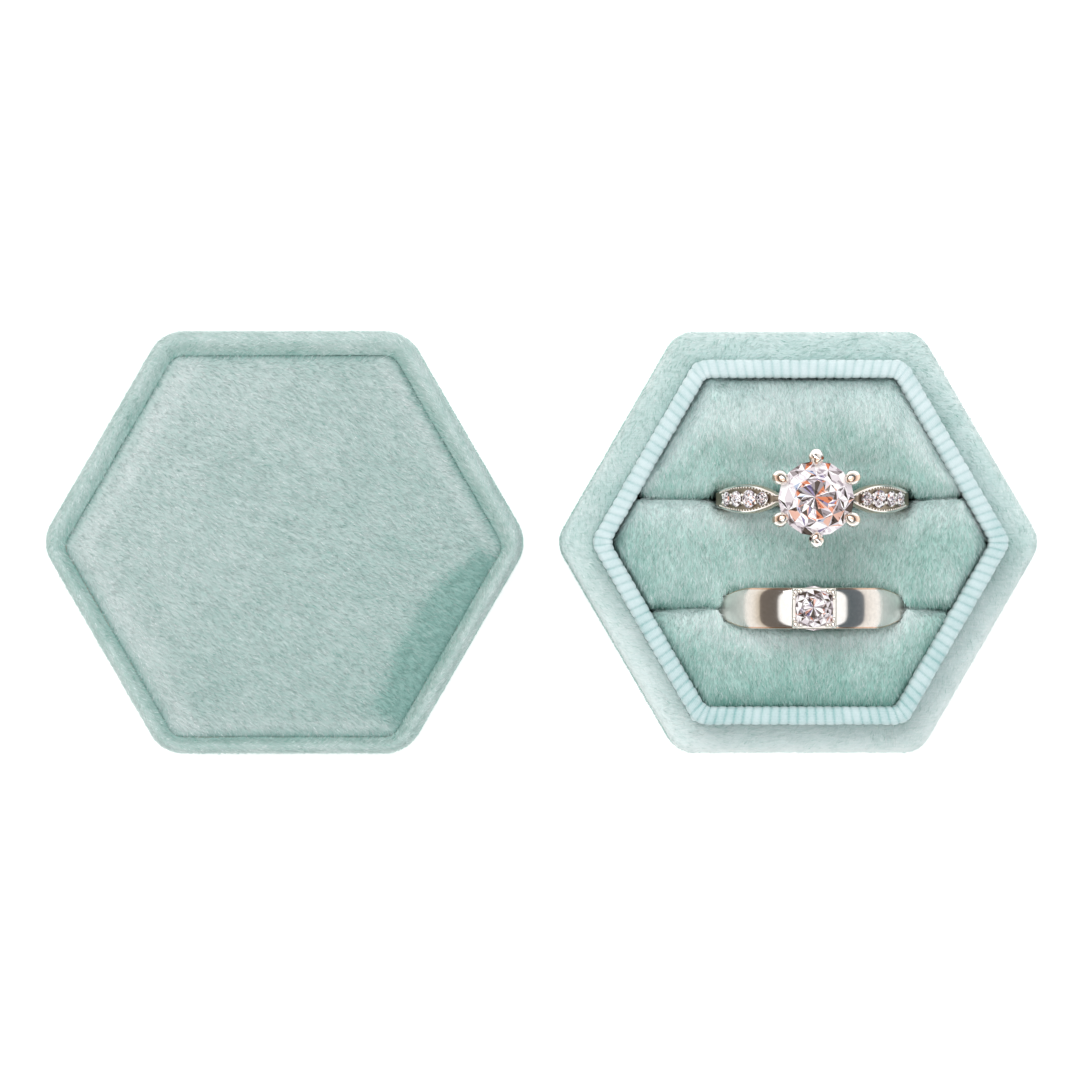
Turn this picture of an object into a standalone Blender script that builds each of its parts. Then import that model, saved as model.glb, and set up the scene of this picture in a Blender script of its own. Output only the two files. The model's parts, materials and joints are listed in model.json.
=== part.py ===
"""Hexagonal velvet ring box: lifted-off lid, open base with cushion, and its two rings.

Metres, +Z up. The origin is the middle of the base's underside. The lid lies beside the base.
"""

import math

import bmesh
import bpy
from mathutils import Vector

MM = 0.001

# Overall sizes of the closed box
ACROSS_FLATS = 45.0 * MM
BASE_HEIGHT = 20.0 * MM
LID_SPACE = 4.2 * MM

# Fits
GLUE_GAP = 0.25 * MM
LID_CLEARANCE = 0.30 * MM
LID_HEADROOM = 0.85 * MM
CUSHION_GAP = 0.30 * MM
RING_GAP = 0.30 * MM
RING_END_GAP = 1.20 * MM
SEAT_GAP = 0.10 * MM

# Corner rounding of the outer hexagons
BASE_CORNER = 3.0 * MM
LID_CORNER = 4.0 * MM
SMALLEST_CORNER = 0.6 * MM
CORNER_STEPS = 5

# Sheet and board thicknesses
VELVET = 0.8 * MM
WALL_BOARD = 1.1 * MM
BOTTOM_BOARD = 1.5 * MM
TOP_BOARD = 1.3 * MM
INSERT_BOARD = 1.2 * MM
HEM = 0.35 * MM
LINING = 0.30 * MM
LINING_PAD = 0.8 * MM
RIBBON = 0.35 * MM
COLLAR_BOARD = 0.9 * MM
BOLSTER_VELVET = 0.6 * MM

# Base details
BASE_HEM_DEPTH = 9.0 * MM
UNDER_HEM = 1.1 * MM
EDGE_SOFTNESS = 0.4 * MM

# Collar
COLLAR_RISE = 7.0 * MM
RIBBON_DEPTH = 19.0 * MM
RIBBON_EDGE = 0.12 * MM

# Lid details
TOP_FOAM = 1.35 * MM
TOP_PUFF = 0.65 * MM
PANEL_DROP = 0.6 * MM
# The panel's roll-off as (distance in from its edge, drop below its middle), in puffs
PUFF_CURVE = ((0.0, 1.6), (0.5, 1.0), (2.0, 0.55), (5.0, 0.22), (12.0, 0.0))

# Cushion: three rolls with a slot between each two
BACK_SLOT_Y = 4.6 * MM
FRONT_SLOT_Y = -7.0 * MM
SLOT_GAP = 0.6 * MM
CROWN_DROP = 2.5 * MM
CROWN_ROUND = 3.0 * MM
CROWN_ROUND_DEPTH = 2.4 * MM
CROWN_STEPS = 3
MOST_ROUNDING_SHARE = 0.45
END_FALL_LENGTH = 6.0 * MM
END_SHARES = (0.0, 0.2, 0.5, 0.75)
CROWN_FALL = 1.6 * MM
SLOT_TAPER = 2.0 * MM
END_MARGIN = 0.8 * MM
END_TIP = 1.2 * MM

# Rings
RING_X = 1.3 * MM
FINGER_DIAMETER = 17.3 * MM
SHANK_THICKNESS = 1.7 * MM
SOLITAIRE_SINK = 1.5 * MM
BAND_SINK = 4.9 * MM
SOLITAIRE_WIDTH = 2.0 * MM
LEAF_WIDTH = 3.1 * MM
LEAF_TIP_WIDTH = 1.2 * MM
LEAF_TIP_ANGLE = 24.0
LEAF_WIDE_ANGLE = 46.0
LEAF_END_ANGLE = 80.0
BAND_WIDTH = 4.4 * MM
BAND_BACK_WIDTH = 2.8 * MM
BAND_TAPER_START = 42.0
BAND_TAPER_END = 70.0
SHANK_EDGE = 0.35 * MM
SHANK_DOME = 0.12 * MM
SHANK_STEPS = 56

# Centre stone and its head
STONE_DIAMETER = 8.0 * MM
STONE_RISE = 0.4 * MM
CROWN_SHARE = 0.155
GIRDLE_SHARE = 0.035
PAVILION_SHARE = 0.41
TABLE_SHARE = 0.56
CULET_SHARE = 0.04
STONE_SIDES = 16
CLAW_COUNT = 6
FIRST_CLAW_ANGLE = 30.0
CLAW_RADIUS = 0.50 * MM
CLAW_TIP_RADIUS = 0.55 * MM
CLAW_SIDES = 8
CLAW_TIP_SHARE = 0.7
CLAW_FOOT_SHARES = (0.30, 0.62, 0.92)
# How far the claw's bends stand outside the stone's clearance, and over its girdle
CLAW_BENDS = ((0.12 * MM, 0.20 * MM), (0.0, 0.75 * MM))
CLAW_TIP_REACH = 0.30 * MM
CLAW_TIP_RISE = 1.08 * MM
GALLERY_RADIUS = 1.95 * MM
GALLERY_WIRE = 0.40 * MM

# Small stones set in the leaf shoulders: angle from the top of the ring, diameter
ACCENTS = ((33.0, 1.0 * MM), (43.0, 1.35 * MM), (54.5, 1.2 * MM), (65.5, 1.1 * MM))

# Band's setting
BAND_STONE_DIAMETER = 4.4 * MM
SETTING_LENGTH = 5.2 * MM
SETTING_RISE = 0.75 * MM
SETTING_SINK = 1.3 * MM
BEAD_RADIUS = 0.55 * MM
BEAD_INSET = 0.05 * MM
BEAD_LIFT = 0.1 * MM
SEAT_SHAFT_SHARE = 0.35
SEAT_OVERRUN = 2.0 * MM
SEAT_SIDES = 24

# Levels that follow from the sizes above
HALF_FLATS = ACROSS_FLATS / 2
BOARD_OUTER = HALF_FLATS - VELVET - GLUE_GAP
BOARD_INNER = BOARD_OUTER - WALL_BOARD
HEM_OUTER = BOARD_INNER - GLUE_GAP
HEM_INNER = HEM_OUTER - HEM
COLLAR_OUTER = HEM_INNER - GLUE_GAP
COLLAR_WALL = 2 * RIBBON + 2 * GLUE_GAP + COLLAR_BOARD
COLLAR_INNER = COLLAR_OUTER - COLLAR_WALL
LINING_INNER = COLLAR_OUTER + LID_CLEARANCE
LINING_OUTER = LINING_INNER + LINING
CUSHION_HALF = COLLAR_INNER - CUSHION_GAP
BOTTOM_TOP_Z = VELVET + GLUE_GAP + BOTTOM_BOARD
INSERT_Z = BOTTOM_TOP_Z + GLUE_GAP
CUSHION_Z = INSERT_Z + INSERT_BOARD + GLUE_GAP
COLLAR_TOP = BASE_HEIGHT + COLLAR_RISE
RIBBON_BOTTOM = COLLAR_TOP - RIBBON_DEPTH
CROWN_Z = COLLAR_TOP - CROWN_DROP
SOLITAIRE_Z = CROWN_Z - SOLITAIRE_SINK
BAND_Z = CROWN_Z - BAND_SINK
SHANK_INNER = FINGER_DIAMETER / 2
SHANK_OUTER = SHANK_INNER + SHANK_THICKNESS
SLOT_HALF_LENGTH = SHANK_OUTER + RING_END_GAP
STONE_HEIGHT = (PAVILION_SHARE + GIRDLE_SHARE + CROWN_SHARE) * STONE_DIAMETER
STONE_TOP = SOLITAIRE_Z + SHANK_OUTER + STONE_RISE + STONE_HEIGHT
LID_TOP_STACK = PANEL_DROP + VELVET + TOP_FOAM + TOP_BOARD + LINING_PAD + 3 * GLUE_GAP
LID_HEIGHT = STONE_TOP + LID_HEADROOM + LID_TOP_STACK - BASE_HEIGHT


def corner_reach(corner):
    """Distance from the middle to the rounded tip of an outer hexagon."""
    return (HALF_FLATS - corner) / math.cos(math.radians(30.0)) + corner


LID_CENTRE_X = -(corner_reach(BASE_CORNER) + LID_SPACE + corner_reach(LID_CORNER))


def srgb(value):
    """One 8-bit colour channel as a linear value."""
    share = value / 255.0
    if share <= 0.04045:
        return share / 12.92
    return ((share + 0.055) / 1.055) ** 2.4


def make_material(name, colour, roughness, metallic=0.0):
    """A Principled material with the given 8-bit colour."""
    material = bpy.data.materials.new(name)
    material.use_nodes = True
    shader = material.node_tree.nodes["Principled BSDF"]
    linear = [srgb(value) for value in colour]
    shader.inputs["Base Color"].default_value = (*linear, 1.0)
    shader.inputs["Roughness"].default_value = roughness
    shader.inputs["Metallic"].default_value = metallic
    material.diffuse_color = (*linear, 1.0)
    return material


def mesh_object(name, vertices, faces, material, parent=None, smooth_angle=40.0):
    """A closed mesh object with outward faces, shaded smooth below the given angle."""
    mesh = bpy.data.meshes.new(name)
    mesh.from_pydata([tuple(v) for v in vertices], [], faces)
    work = bmesh.new()
    work.from_mesh(mesh)
    bmesh.ops.recalc_face_normals(work, faces=work.faces)
    work.to_mesh(mesh)
    work.free()
    mesh.shade_smooth()
    mesh.set_sharp_from_angle(angle=math.radians(smooth_angle))
    thing = bpy.data.objects.new(name, mesh)
    bpy.context.scene.collection.objects.link(thing)
    mesh.materials.append(material)
    if parent is not None:
        thing.parent = parent
    return thing


def joint_empty(name, location):
    """An empty on a joint's axis, parent of the pieces that move with it."""
    empty = bpy.data.objects.new(name, None)
    empty.location = location
    bpy.context.scene.collection.objects.link(empty)
    return empty


def hexagon(apothem, corner):
    """A rounded hexagon with flats facing front and back, as (x, y) points."""
    reach = (apothem - corner) / math.cos(math.radians(30.0))
    points = []
    for side in range(6):
        middle = 60.0 * side
        for step in range(CORNER_STEPS + 1):
            angle = math.radians(middle - 30.0 + 60.0 * step / CORNER_STEPS)
            turn = math.radians(middle)
            x = reach * math.cos(turn) + corner * math.cos(angle)
            y = reach * math.sin(turn) + corner * math.sin(angle)
            points.append((x, y))
    return points


def corner_at(apothem, outer_corner):
    """Corner radius of a hexagon inside the outer one, kept parallel to it."""
    return max(outer_corner - (HALF_FLATS - apothem), SMALLEST_CORNER)


def hexagon_loft(name, profile, outer_corner, material, parent=None, tube=False):
    """Rounded hexagons stacked along (apothem, z); a tube's profile closes on itself."""
    vertices = []
    for apothem, z in profile:
        outline = hexagon(apothem, corner_at(apothem, outer_corner))
        vertices.extend((x, y, z) for x, y in outline)
    around = 6 * (CORNER_STEPS + 1)
    rows = len(profile)
    faces = []
    for row in range(rows if tube else rows - 1):
        here = row * around
        above = ((row + 1) % rows) * around
        for k in range(around):
            after = (k + 1) % around
            faces.append((here + k, here + after, above + after, above + k))
    if not tube:
        faces.append(tuple(range(around)))
        faces.append(tuple(range((rows - 1) * around, rows * around)))
    return mesh_object(name, vertices, faces, material, parent)


def plate(name, apothem, bottom, top, outer_corner, material, parent=None):
    """A flat hexagonal board or pad."""
    profile = [(apothem, bottom), (apothem, top)]
    return hexagon_loft(name, profile, outer_corner, material, parent)


def tube(name, outer, inner, bottom, top, outer_corner, material, parent=None):
    """A straight hexagonal wall."""
    profile = [(outer, bottom), (outer, top), (inner, top), (inner, bottom)]
    return hexagon_loft(name, profile, outer_corner, material, parent, tube=True)


# ---------------------------------------------------------------- base


def build_base(mats):
    """The base's boards, its velvet cover, the felt beneath and the collar."""
    felt_half = HALF_FLATS - VELVET - UNDER_HEM - GLUE_GAP
    plate("base_underside_felt", felt_half, 0.0, VELVET, BASE_CORNER, mats["felt"])
    board_z = VELVET + GLUE_GAP
    plate("base_bottom_board", BOARD_OUTER, board_z, BOTTOM_TOP_Z, BASE_CORNER, mats["board"])
    wall_bottom = BOTTOM_TOP_Z + GLUE_GAP
    wall_top = BASE_HEIGHT - VELVET - GLUE_GAP
    tube("base_wall_board", BOARD_OUTER, BOARD_INNER, wall_bottom, wall_top, BASE_CORNER,
         mats["board"])
    build_base_velvet(mats["velvet"])
    build_collar(mats)
    plate("insert_board", CUSHION_HALF, INSERT_Z, INSERT_Z + INSERT_BOARD, BASE_CORNER,
          mats["board"])


def build_base_velvet(material):
    """Velvet that covers the wall, folds over its top edge and turns under the bottom."""
    outer = HALF_FLATS
    back = outer - VELVET
    hem_end = back - UNDER_HEM
    top = BASE_HEIGHT
    soft = EDGE_SOFTNESS
    fold_z = top - VELVET
    profile = [
        (outer - soft, 0.0),
        (outer, soft),
        (outer, top - 2 * soft),
        (outer - 0.5 * soft, top - 0.6 * soft),
        (outer - 1.75 * soft, top),
        (HEM_INNER + soft, top),
        (HEM_INNER, top - soft),
        (HEM_INNER, top - BASE_HEM_DEPTH),
        (HEM_OUTER, top - BASE_HEM_DEPTH),
        (HEM_OUTER, fold_z),
        (back, fold_z),
        (back, VELVET),
        (hem_end, VELVET),
        (hem_end, 0.0),
    ]
    hexagon_loft("base_velvet_wrap", profile, BASE_CORNER, material, tube=True)


def build_collar(mats):
    """The collar that the lid slides over: a board strip inside a folded ribbon."""
    board_out = COLLAR_OUTER - RIBBON - GLUE_GAP
    board_in = board_out - COLLAR_BOARD
    board_bottom = BOTTOM_TOP_Z + GLUE_GAP
    board_top = COLLAR_TOP - RIBBON - GLUE_GAP
    # The insert lies inside the collar, so the collar board stands on the bottom board.
    tube("collar_board", board_out, board_in, board_bottom, board_top, BASE_CORNER,
         mats["board"])
    profile = [
        (COLLAR_OUTER, RIBBON_BOTTOM),
        (COLLAR_OUTER, COLLAR_TOP - RIBBON_EDGE),
        (COLLAR_OUTER - RIBBON_EDGE, COLLAR_TOP),
        (COLLAR_INNER + RIBBON_EDGE, COLLAR_TOP),
        (COLLAR_INNER, COLLAR_TOP - RIBBON_EDGE),
        (COLLAR_INNER, RIBBON_BOTTOM),
        (COLLAR_INNER + RIBBON, RIBBON_BOTTOM),
        (COLLAR_INNER + RIBBON, COLLAR_TOP - RIBBON),
        (COLLAR_OUTER - RIBBON, COLLAR_TOP - RIBBON),
        (COLLAR_OUTER - RIBBON, RIBBON_BOTTOM),
    ]
    hexagon_loft("collar_ribbon", profile, BASE_CORNER, mats["ribbon"], tube=True)


# ---------------------------------------------------------------- lid


def build_lid(mats, lid):
    """The lid's boards, padded top, velvet cover and lining, around the lid's own axis."""
    wall_top = LID_HEIGHT - VELVET - GLUE_GAP
    wall_bottom = VELVET + GLUE_GAP
    tube("lid_wall_board", BOARD_OUTER, BOARD_INNER, wall_bottom, wall_top, LID_CORNER,
         mats["board"], lid)
    build_lid_velvet(mats["velvet"], lid)
    panel_half = BOARD_INNER - GLUE_GAP
    crown = LID_HEIGHT - PANEL_DROP
    foam_z = crown - VELVET - GLUE_GAP - TOP_FOAM
    board_top = foam_z - GLUE_GAP
    board_z = board_top - TOP_BOARD
    build_lid_panel(mats, lid, panel_half, foam_z, crown)
    plate("lid_top_board", panel_half, board_z, board_top, LID_CORNER, mats["board"], lid)
    pad_top = board_z - GLUE_GAP
    pad_z = pad_top - LINING_PAD
    plate("lid_lining_top", panel_half, pad_z, pad_top, LID_CORNER, mats["lining"], lid)
    tube("lid_lining_wall", LINING_OUTER, LINING_INNER, EDGE_SOFTNESS, pad_z - GLUE_GAP,
         LID_CORNER, mats["lining"], lid)


def build_lid_velvet(material, lid):
    """Velvet round the lid's wall, with a soft raised rim above the wall board."""
    outer = HALF_FLATS
    back = outer - VELVET
    top = LID_HEIGHT
    soft = EDGE_SOFTNESS
    fold_z = top - VELVET
    rim_in = BOARD_INNER
    profile = [
        (outer - soft, 0.0),
        (outer, soft),
        (outer, top - 3.5 * soft),
        (outer - 0.6 * soft, top - 1.4 * soft),
        (outer - 2.0 * soft, top - 0.25 * soft),
        (outer - 3.2 * soft, top),
        (rim_in + soft, top - 0.4 * soft),
        (rim_in, top - 1.4 * soft),
        (rim_in, fold_z),
        (back, fold_z),
        (back, VELVET),
        (rim_in, VELVET),
        (rim_in, 0.0),
    ]
    hexagon_loft("lid_velvet_wrap", profile, LID_CORNER, material, lid, tube=True)


def panel_profile(edge, crown, puff, bottom):
    """A slightly domed panel, from its lower edge up to its flat middle."""
    return [(edge, bottom)] + [
        (edge - inset * puff, crown - drop * puff) for inset, drop in PUFF_CURVE
    ]


def build_lid_panel(mats, lid, half, bottom, crown):
    """The inset top panel: velvet folded down round a thin foam sheet."""
    outside = panel_profile(half, crown, TOP_PUFF, bottom)
    inside = panel_profile(half - VELVET, crown - VELVET, TOP_PUFF, bottom)
    foam = panel_profile(half - VELVET - GLUE_GAP, crown - VELVET - GLUE_GAP, TOP_PUFF, bottom)
    cup_vertices = []
    for apothem, z in outside + inside:
        outline = hexagon(apothem, corner_at(apothem, LID_CORNER))
        cup_vertices.extend((x, y, z) for x, y in outline)
    around = 6 * (CORNER_STEPS + 1)
    rows = len(outside)
    faces = []
    for shell in (0, rows):
        for row in range(shell, shell + rows - 1):
            for k in range(around):
                after = (k + 1) % around
                low = row * around
                high = low + around
                faces.append((low + k, low + after, high + after, high + k))
        last = (shell + rows - 1) * around
        faces.append(tuple(range(last, last + around)))
    for k in range(around):
        after = (k + 1) % around
        inner = rows * around
        faces.append((k, after, inner + after, inner + k))
    mesh_object("lid_top_velvet", cup_vertices, faces, mats["velvet"], lid)
    hexagon_loft("lid_top_foam", foam, LID_CORNER, mats["foam"], lid)


# ---------------------------------------------------------------- cushion


def slot_push(x, ring_half):
    """How far a slot's side steps back from its line to make room for a ring."""
    away = abs(x - RING_X) - SLOT_HALF_LENGTH
    depth = ring_half + RING_GAP - SLOT_GAP / 2
    if away <= 0:
        return depth
    if away >= SLOT_TAPER:
        return 0.0
    return depth * (1 - away / SLOT_TAPER)


def hexagon_half_depth(x, apothem):
    """Distance from the middle line to a sharp hexagon's edge at the given x."""
    return min(apothem, 2 * apothem - math.sqrt(3) * abs(x))


def roll_limits(x, front, back, inset):
    """Front and back of one roll at x, stepped in from its faces by the inset."""
    edge = hexagon_half_depth(x, CUSHION_HALF - inset)
    low = -edge
    high = edge
    if front is not None:
        line, ring_half = front
        low = max(low, line + SLOT_GAP / 2 + slot_push(x, ring_half) + inset)
    if back is not None:
        line, ring_half = back
        high = min(high, line - SLOT_GAP / 2 - slot_push(x, ring_half) - inset)
    return low, high


def roll_end(front, back, inset):
    """Largest x at which the roll is still as wide as its blunt tip."""
    near = 0.0
    far = 2 * CUSHION_HALF
    for _ in range(40):
        middle = (near + far) / 2
        low, high = roll_limits(middle, front, back, inset)
        if high - low > END_TIP:
            near = middle
        else:
            far = middle
    return near


def roll_corners(front, back, inset):
    """Positions where a roll's plan outline turns on to the slanted hexagon sides."""
    half = CUSHION_HALF - inset
    corners = []
    for slot in (front, back):
        if slot is None:
            corners.append(half / math.sqrt(3))
        elif front is not None and back is not None:
            line = abs(slot[0] + (SLOT_GAP / 2 if slot is front else -SLOT_GAP / 2))
            corners.append((2 * half - line + inset) / math.sqrt(3))
    return corners


def roll_marks(front, back, inset):
    """Positions along a roll where its outline bends, short of its blunt ends."""
    limit = roll_end(front, back, BOLSTER_VELVET + GLUE_GAP) - END_MARGIN
    marks = [RING_X + share * SLOT_HALF_LENGTH for share in (-1.0, -0.5, 0.0, 0.5, 1.0)]
    marks.append(RING_X - SLOT_HALF_LENGTH - SLOT_TAPER)
    marks.append(RING_X + SLOT_HALF_LENGTH + SLOT_TAPER)
    marks = [x for x in marks if abs(x) < limit]
    for corner in roll_corners(front, back, inset):
        marks += [-corner, corner]
    return sorted(marks)


def roll_stations(end, marks):
    """Positions along a roll: the given marks, and a few towards each slanted end."""
    left = [-end + share * (marks[0] + end) for share in END_SHARES]
    right = [end + share * (marks[-1] - end) for share in reversed(END_SHARES)]
    return left + marks + right


def roll_section(x, end, front, back, inset):
    """Cross-section of a roll at x: up the front face, over the crown, down the back."""
    low, high = roll_limits(x, front, back, inset)
    width = high - low
    share = min(1.0, (end - abs(x)) / END_FALL_LENGTH)
    crown = CROWN_Z - inset - CROWN_FALL * (1 - share) ** 2
    rounding = min(CROWN_ROUND, MOST_ROUNDING_SHARE * width)
    points = [(x, low, CUSHION_Z), (x, low, crown - CROWN_ROUND_DEPTH)]
    for step in range(1, CROWN_STEPS + 1):
        turn = math.radians(90.0 * step / CROWN_STEPS)
        reach = rounding * (1 - math.cos(turn))
        drop = CROWN_ROUND_DEPTH * (1 - math.sin(turn))
        points.append((x, low + reach, crown - drop))
    mirrored = [(px, low + high - py, pz) for px, py, pz in reversed(points)]
    return points + mirrored


def roll_grid(front, back, inset):
    """All cross-sections of a roll stepped in by the inset."""
    end = roll_end(front, back, inset)
    stations = roll_stations(end, roll_marks(front, back, inset))
    return [roll_section(x, end, front, back, inset) for x in stations]


def grid_faces(rows, across, start):
    """Quads between neighbouring cross-sections."""
    faces = []
    for row in range(rows - 1):
        for k in range(across - 1):
            here = start + row * across + k
            faces.append((here, here + 1, here + across + 1, here + across))
    return faces


def build_roll(index, front, back, mats):
    """One cushion roll: foam with a velvet cover open at the bottom."""
    outside = roll_grid(front, back, 0.0)
    inside = roll_grid(front, back, BOLSTER_VELVET)
    rows = len(outside)
    across = len(outside[0])
    second = rows * across
    vertices = [p for section in outside + inside for p in section]
    faces = grid_faces(rows, across, 0) + grid_faces(rows, across, second)
    last = (rows - 1) * across
    for start in (0, last):
        faces.append(tuple(range(start, start + across)))
        faces.append(tuple(range(second + start, second + start + across)))
        edge = start + across - 1
        faces.append((start, edge, second + edge, second + start))
    for row in range(rows - 1):
        for side in (0, across - 1):
            here = row * across + side
            there = here + across
            faces.append((here, there, second + there, second + here))
    mesh_object(f"cushion_velvet_{index}", vertices, faces, mats["cushion"])
    core = roll_grid(front, back, BOLSTER_VELVET + GLUE_GAP)
    rows = len(core)
    vertices = [p for section in core for p in section]
    faces = grid_faces(rows, across, 0)
    for row in range(rows - 1):
        here = row * across
        faces.append((here, here + across, here + 2 * across - 1, here + across - 1))
    last = (rows - 1) * across
    faces.append(tuple(range(across)))
    faces.append(tuple(range(last, last + across)))
    mesh_object(f"cushion_foam_{index}", vertices, faces, mats["foam"])


def build_cushion(mats):
    """Three rolls from back to front, parted by the two ring slots."""
    widest = SOLITAIRE_WIDTH / 2
    back_slot = (BACK_SLOT_Y, widest)
    front_slot = (FRONT_SLOT_Y, BAND_WIDTH / 2)
    build_roll(1, back_slot, None, mats)
    build_roll(2, front_slot, back_slot, mats)
    build_roll(3, None, front_slot, mats)


# ---------------------------------------------------------------- rings


def leaf_half_width(angle):
    """Half width of the solitaire's shank at an angle from its top, in degrees."""
    away = abs(angle)
    plain = SOLITAIRE_WIDTH / 2
    wide = LEAF_WIDTH / 2
    tip = LEAF_TIP_WIDTH / 2
    if away < LEAF_TIP_ANGLE:
        return tip
    if away < LEAF_WIDE_ANGLE:
        share = (away - LEAF_TIP_ANGLE) / (LEAF_WIDE_ANGLE - LEAF_TIP_ANGLE)
        return tip + (wide - tip) * math.sin(math.radians(90.0 * share))
    if away < LEAF_END_ANGLE:
        share = (away - LEAF_WIDE_ANGLE) / (LEAF_END_ANGLE - LEAF_WIDE_ANGLE)
        return plain + (wide - plain) * 0.5 * (1 + math.cos(math.pi * share))
    return plain


def band_half_width(angle):
    """Half width of the band at an angle from its top: it narrows down its sides."""
    wide = BAND_WIDTH / 2
    back = BAND_BACK_WIDTH / 2
    share = (abs(angle) - BAND_TAPER_START) / (BAND_TAPER_END - BAND_TAPER_START)
    share = min(1.0, max(0.0, share))
    return back + (wide - back) * 0.5 * (1 + math.cos(math.pi * share))


def shank_section(half):
    """A flattened round-cornered section as (radius, y), outer side slightly domed."""
    edge = SHANK_EDGE
    dome = SHANK_DOME
    return [
        (SHANK_INNER + edge, -half),
        (SHANK_OUTER - dome - edge, -half),
        (SHANK_OUTER - dome, -half + edge),
        (SHANK_OUTER, 0.0),
        (SHANK_OUTER - dome, half - edge),
        (SHANK_OUTER - dome - edge, half),
        (SHANK_INNER + edge, half),
        (SHANK_INNER, half - edge),
        (SHANK_INNER, -half + edge),
    ]


def build_shank(name, half_width_at, material, parent):
    """A finger ring standing on edge, round its own centre, axis along Y."""
    vertices = []
    across = len(shank_section(BAND_WIDTH))
    for step in range(SHANK_STEPS):
        degrees = 360.0 * step / SHANK_STEPS
        signed = degrees if degrees <= 180.0 else degrees - 360.0
        turn = math.radians(degrees)
        for radius, y in shank_section(half_width_at(signed)):
            vertices.append((radius * math.sin(turn), y, radius * math.cos(turn)))
    faces = []
    for step in range(SHANK_STEPS):
        here = step * across
        there = ((step + 1) % SHANK_STEPS) * across
        for k in range(across):
            after = (k + 1) % across
            faces.append((here + k, here + after, there + after, there + k))
    return mesh_object(name, vertices, faces, material, parent)


def stone_profile(diameter):
    """Radius and height of a round brilliant's outline, measured from its lower tip."""
    pavilion = PAVILION_SHARE * diameter
    girdle = pavilion + GIRDLE_SHARE * diameter
    table = girdle + CROWN_SHARE * diameter
    half = diameter / 2
    return [(CULET_SHARE * half, 0.0), (half, pavilion), (half, girdle),
            (TABLE_SHARE * half, table)]


def build_stone(name, diameter, tip, direction, material, parent):
    """A round brilliant whose lower tip is at the given point, opening along direction."""
    up = Vector(direction).normalized()
    side = Vector((0.0, 1.0, 0.0))
    other = up.cross(side).normalized()
    vertices = []
    profile = stone_profile(diameter)
    for radius, height in profile:
        for k in range(STONE_SIDES):
            turn = math.radians(360.0 * k / STONE_SIDES)
            flat = side * (radius * math.cos(turn)) + other * (radius * math.sin(turn))
            vertices.append(Vector(tip) + up * height + flat)
    faces = []
    for row in range(len(profile) - 1):
        for k in range(STONE_SIDES):
            after = (k + 1) % STONE_SIDES
            here = row * STONE_SIDES
            there = here + STONE_SIDES
            faces.append((here + k, here + after, there + after, there + k))
    faces.append(tuple(range(STONE_SIDES)))
    top = (len(profile) - 1) * STONE_SIDES
    faces.append(tuple(range(top, top + STONE_SIDES)))
    return mesh_object(name, vertices, faces, material, parent, smooth_angle=5.0)


def sweep(name, path, radii, sides, material, closed=False):
    """A round rod along a path of points, tapering as the radii say."""
    count = len(path)
    vertices = []
    for k, point in enumerate(path):
        before = path[(k - 1) % count] if closed or k > 0 else point
        after = path[(k + 1) % count] if closed or k < count - 1 else point
        along = (Vector(after) - Vector(before)).normalized()
        helper = Vector((-point[1], point[0], 0.0)).normalized()
        across = along.cross(helper).normalized()
        level = across.cross(along).normalized()
        for s in range(sides):
            turn = 2 * math.pi * s / sides
            spoke = across * math.cos(turn) + level * math.sin(turn)
            vertices.append(Vector(point) + spoke * radii[k])
    faces = []
    for k in range(count if closed else count - 1):
        here = k * sides
        there = ((k + 1) % count) * sides
        for s in range(sides):
            nxt = (s + 1) % sides
            faces.append((here + s, here + nxt, there + nxt, there + s))
    if not closed:
        faces.append(tuple(range(sides)))
        faces.append(tuple(range((count - 1) * sides, count * sides)))
    return mesh_object(name, vertices, faces, material)


def gallery_ring(name, radius, height, wire, material):
    """A flat-sided hoop that joins the claws at their feet."""
    steps = 24
    section = [(radius - wire, -wire), (radius + wire, -wire), (radius + wire, wire),
               (radius - wire, wire)]
    vertices = []
    for k in range(steps):
        turn = 2 * math.pi * k / steps
        for reach, z in section:
            vertices.append((reach * math.cos(turn), reach * math.sin(turn), height + z))
    across = len(section)
    faces = []
    for k in range(steps):
        here = k * across
        there = ((k + 1) % steps) * across
        for s in range(across):
            nxt = (s + 1) % across
            faces.append((here + s, here + nxt, there + nxt, there + s))
    return mesh_object(name, vertices, faces, material)


def combine(target, tools, operation):
    """Apply a Boolean of each tool on the target and remove the tools."""
    for tool in tools:
        change = target.modifiers.new("combine", "BOOLEAN")
        change.operation = operation
        change.solver = "EXACT"
        change.object = tool
        bpy.context.view_layer.update()
        graph = bpy.context.evaluated_depsgraph_get()
        shape = bpy.data.meshes.new_from_object(target.evaluated_get(graph))
        target.modifiers.clear()
        target.data = shape
        bpy.data.objects.remove(tool)


def claw_path(turn, tip_z):
    """Points up one claw, outside the stone and folded over its edge."""
    half = STONE_DIAMETER / 2
    pavilion = PAVILION_SHARE * STONE_DIAMETER
    slope = Vector((half, pavilion)).normalized()
    aside = Vector((slope.y, -slope.x))
    clear = CLAW_RADIUS + SEAT_GAP
    points = []
    for share in CLAW_FOOT_SHARES:
        foot = Vector((half * share, tip_z + pavilion * share)) + aside * clear
        points.append((foot.x, foot.y))
    girdle_z = tip_z + pavilion
    for out, rise in CLAW_BENDS:
        points.append((half + clear + out, girdle_z + rise))
    points.append((half + CLAW_TIP_REACH, girdle_z + CLAW_TIP_RISE))
    return [(r * math.cos(turn), r * math.sin(turn), z) for r, z in points]


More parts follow.
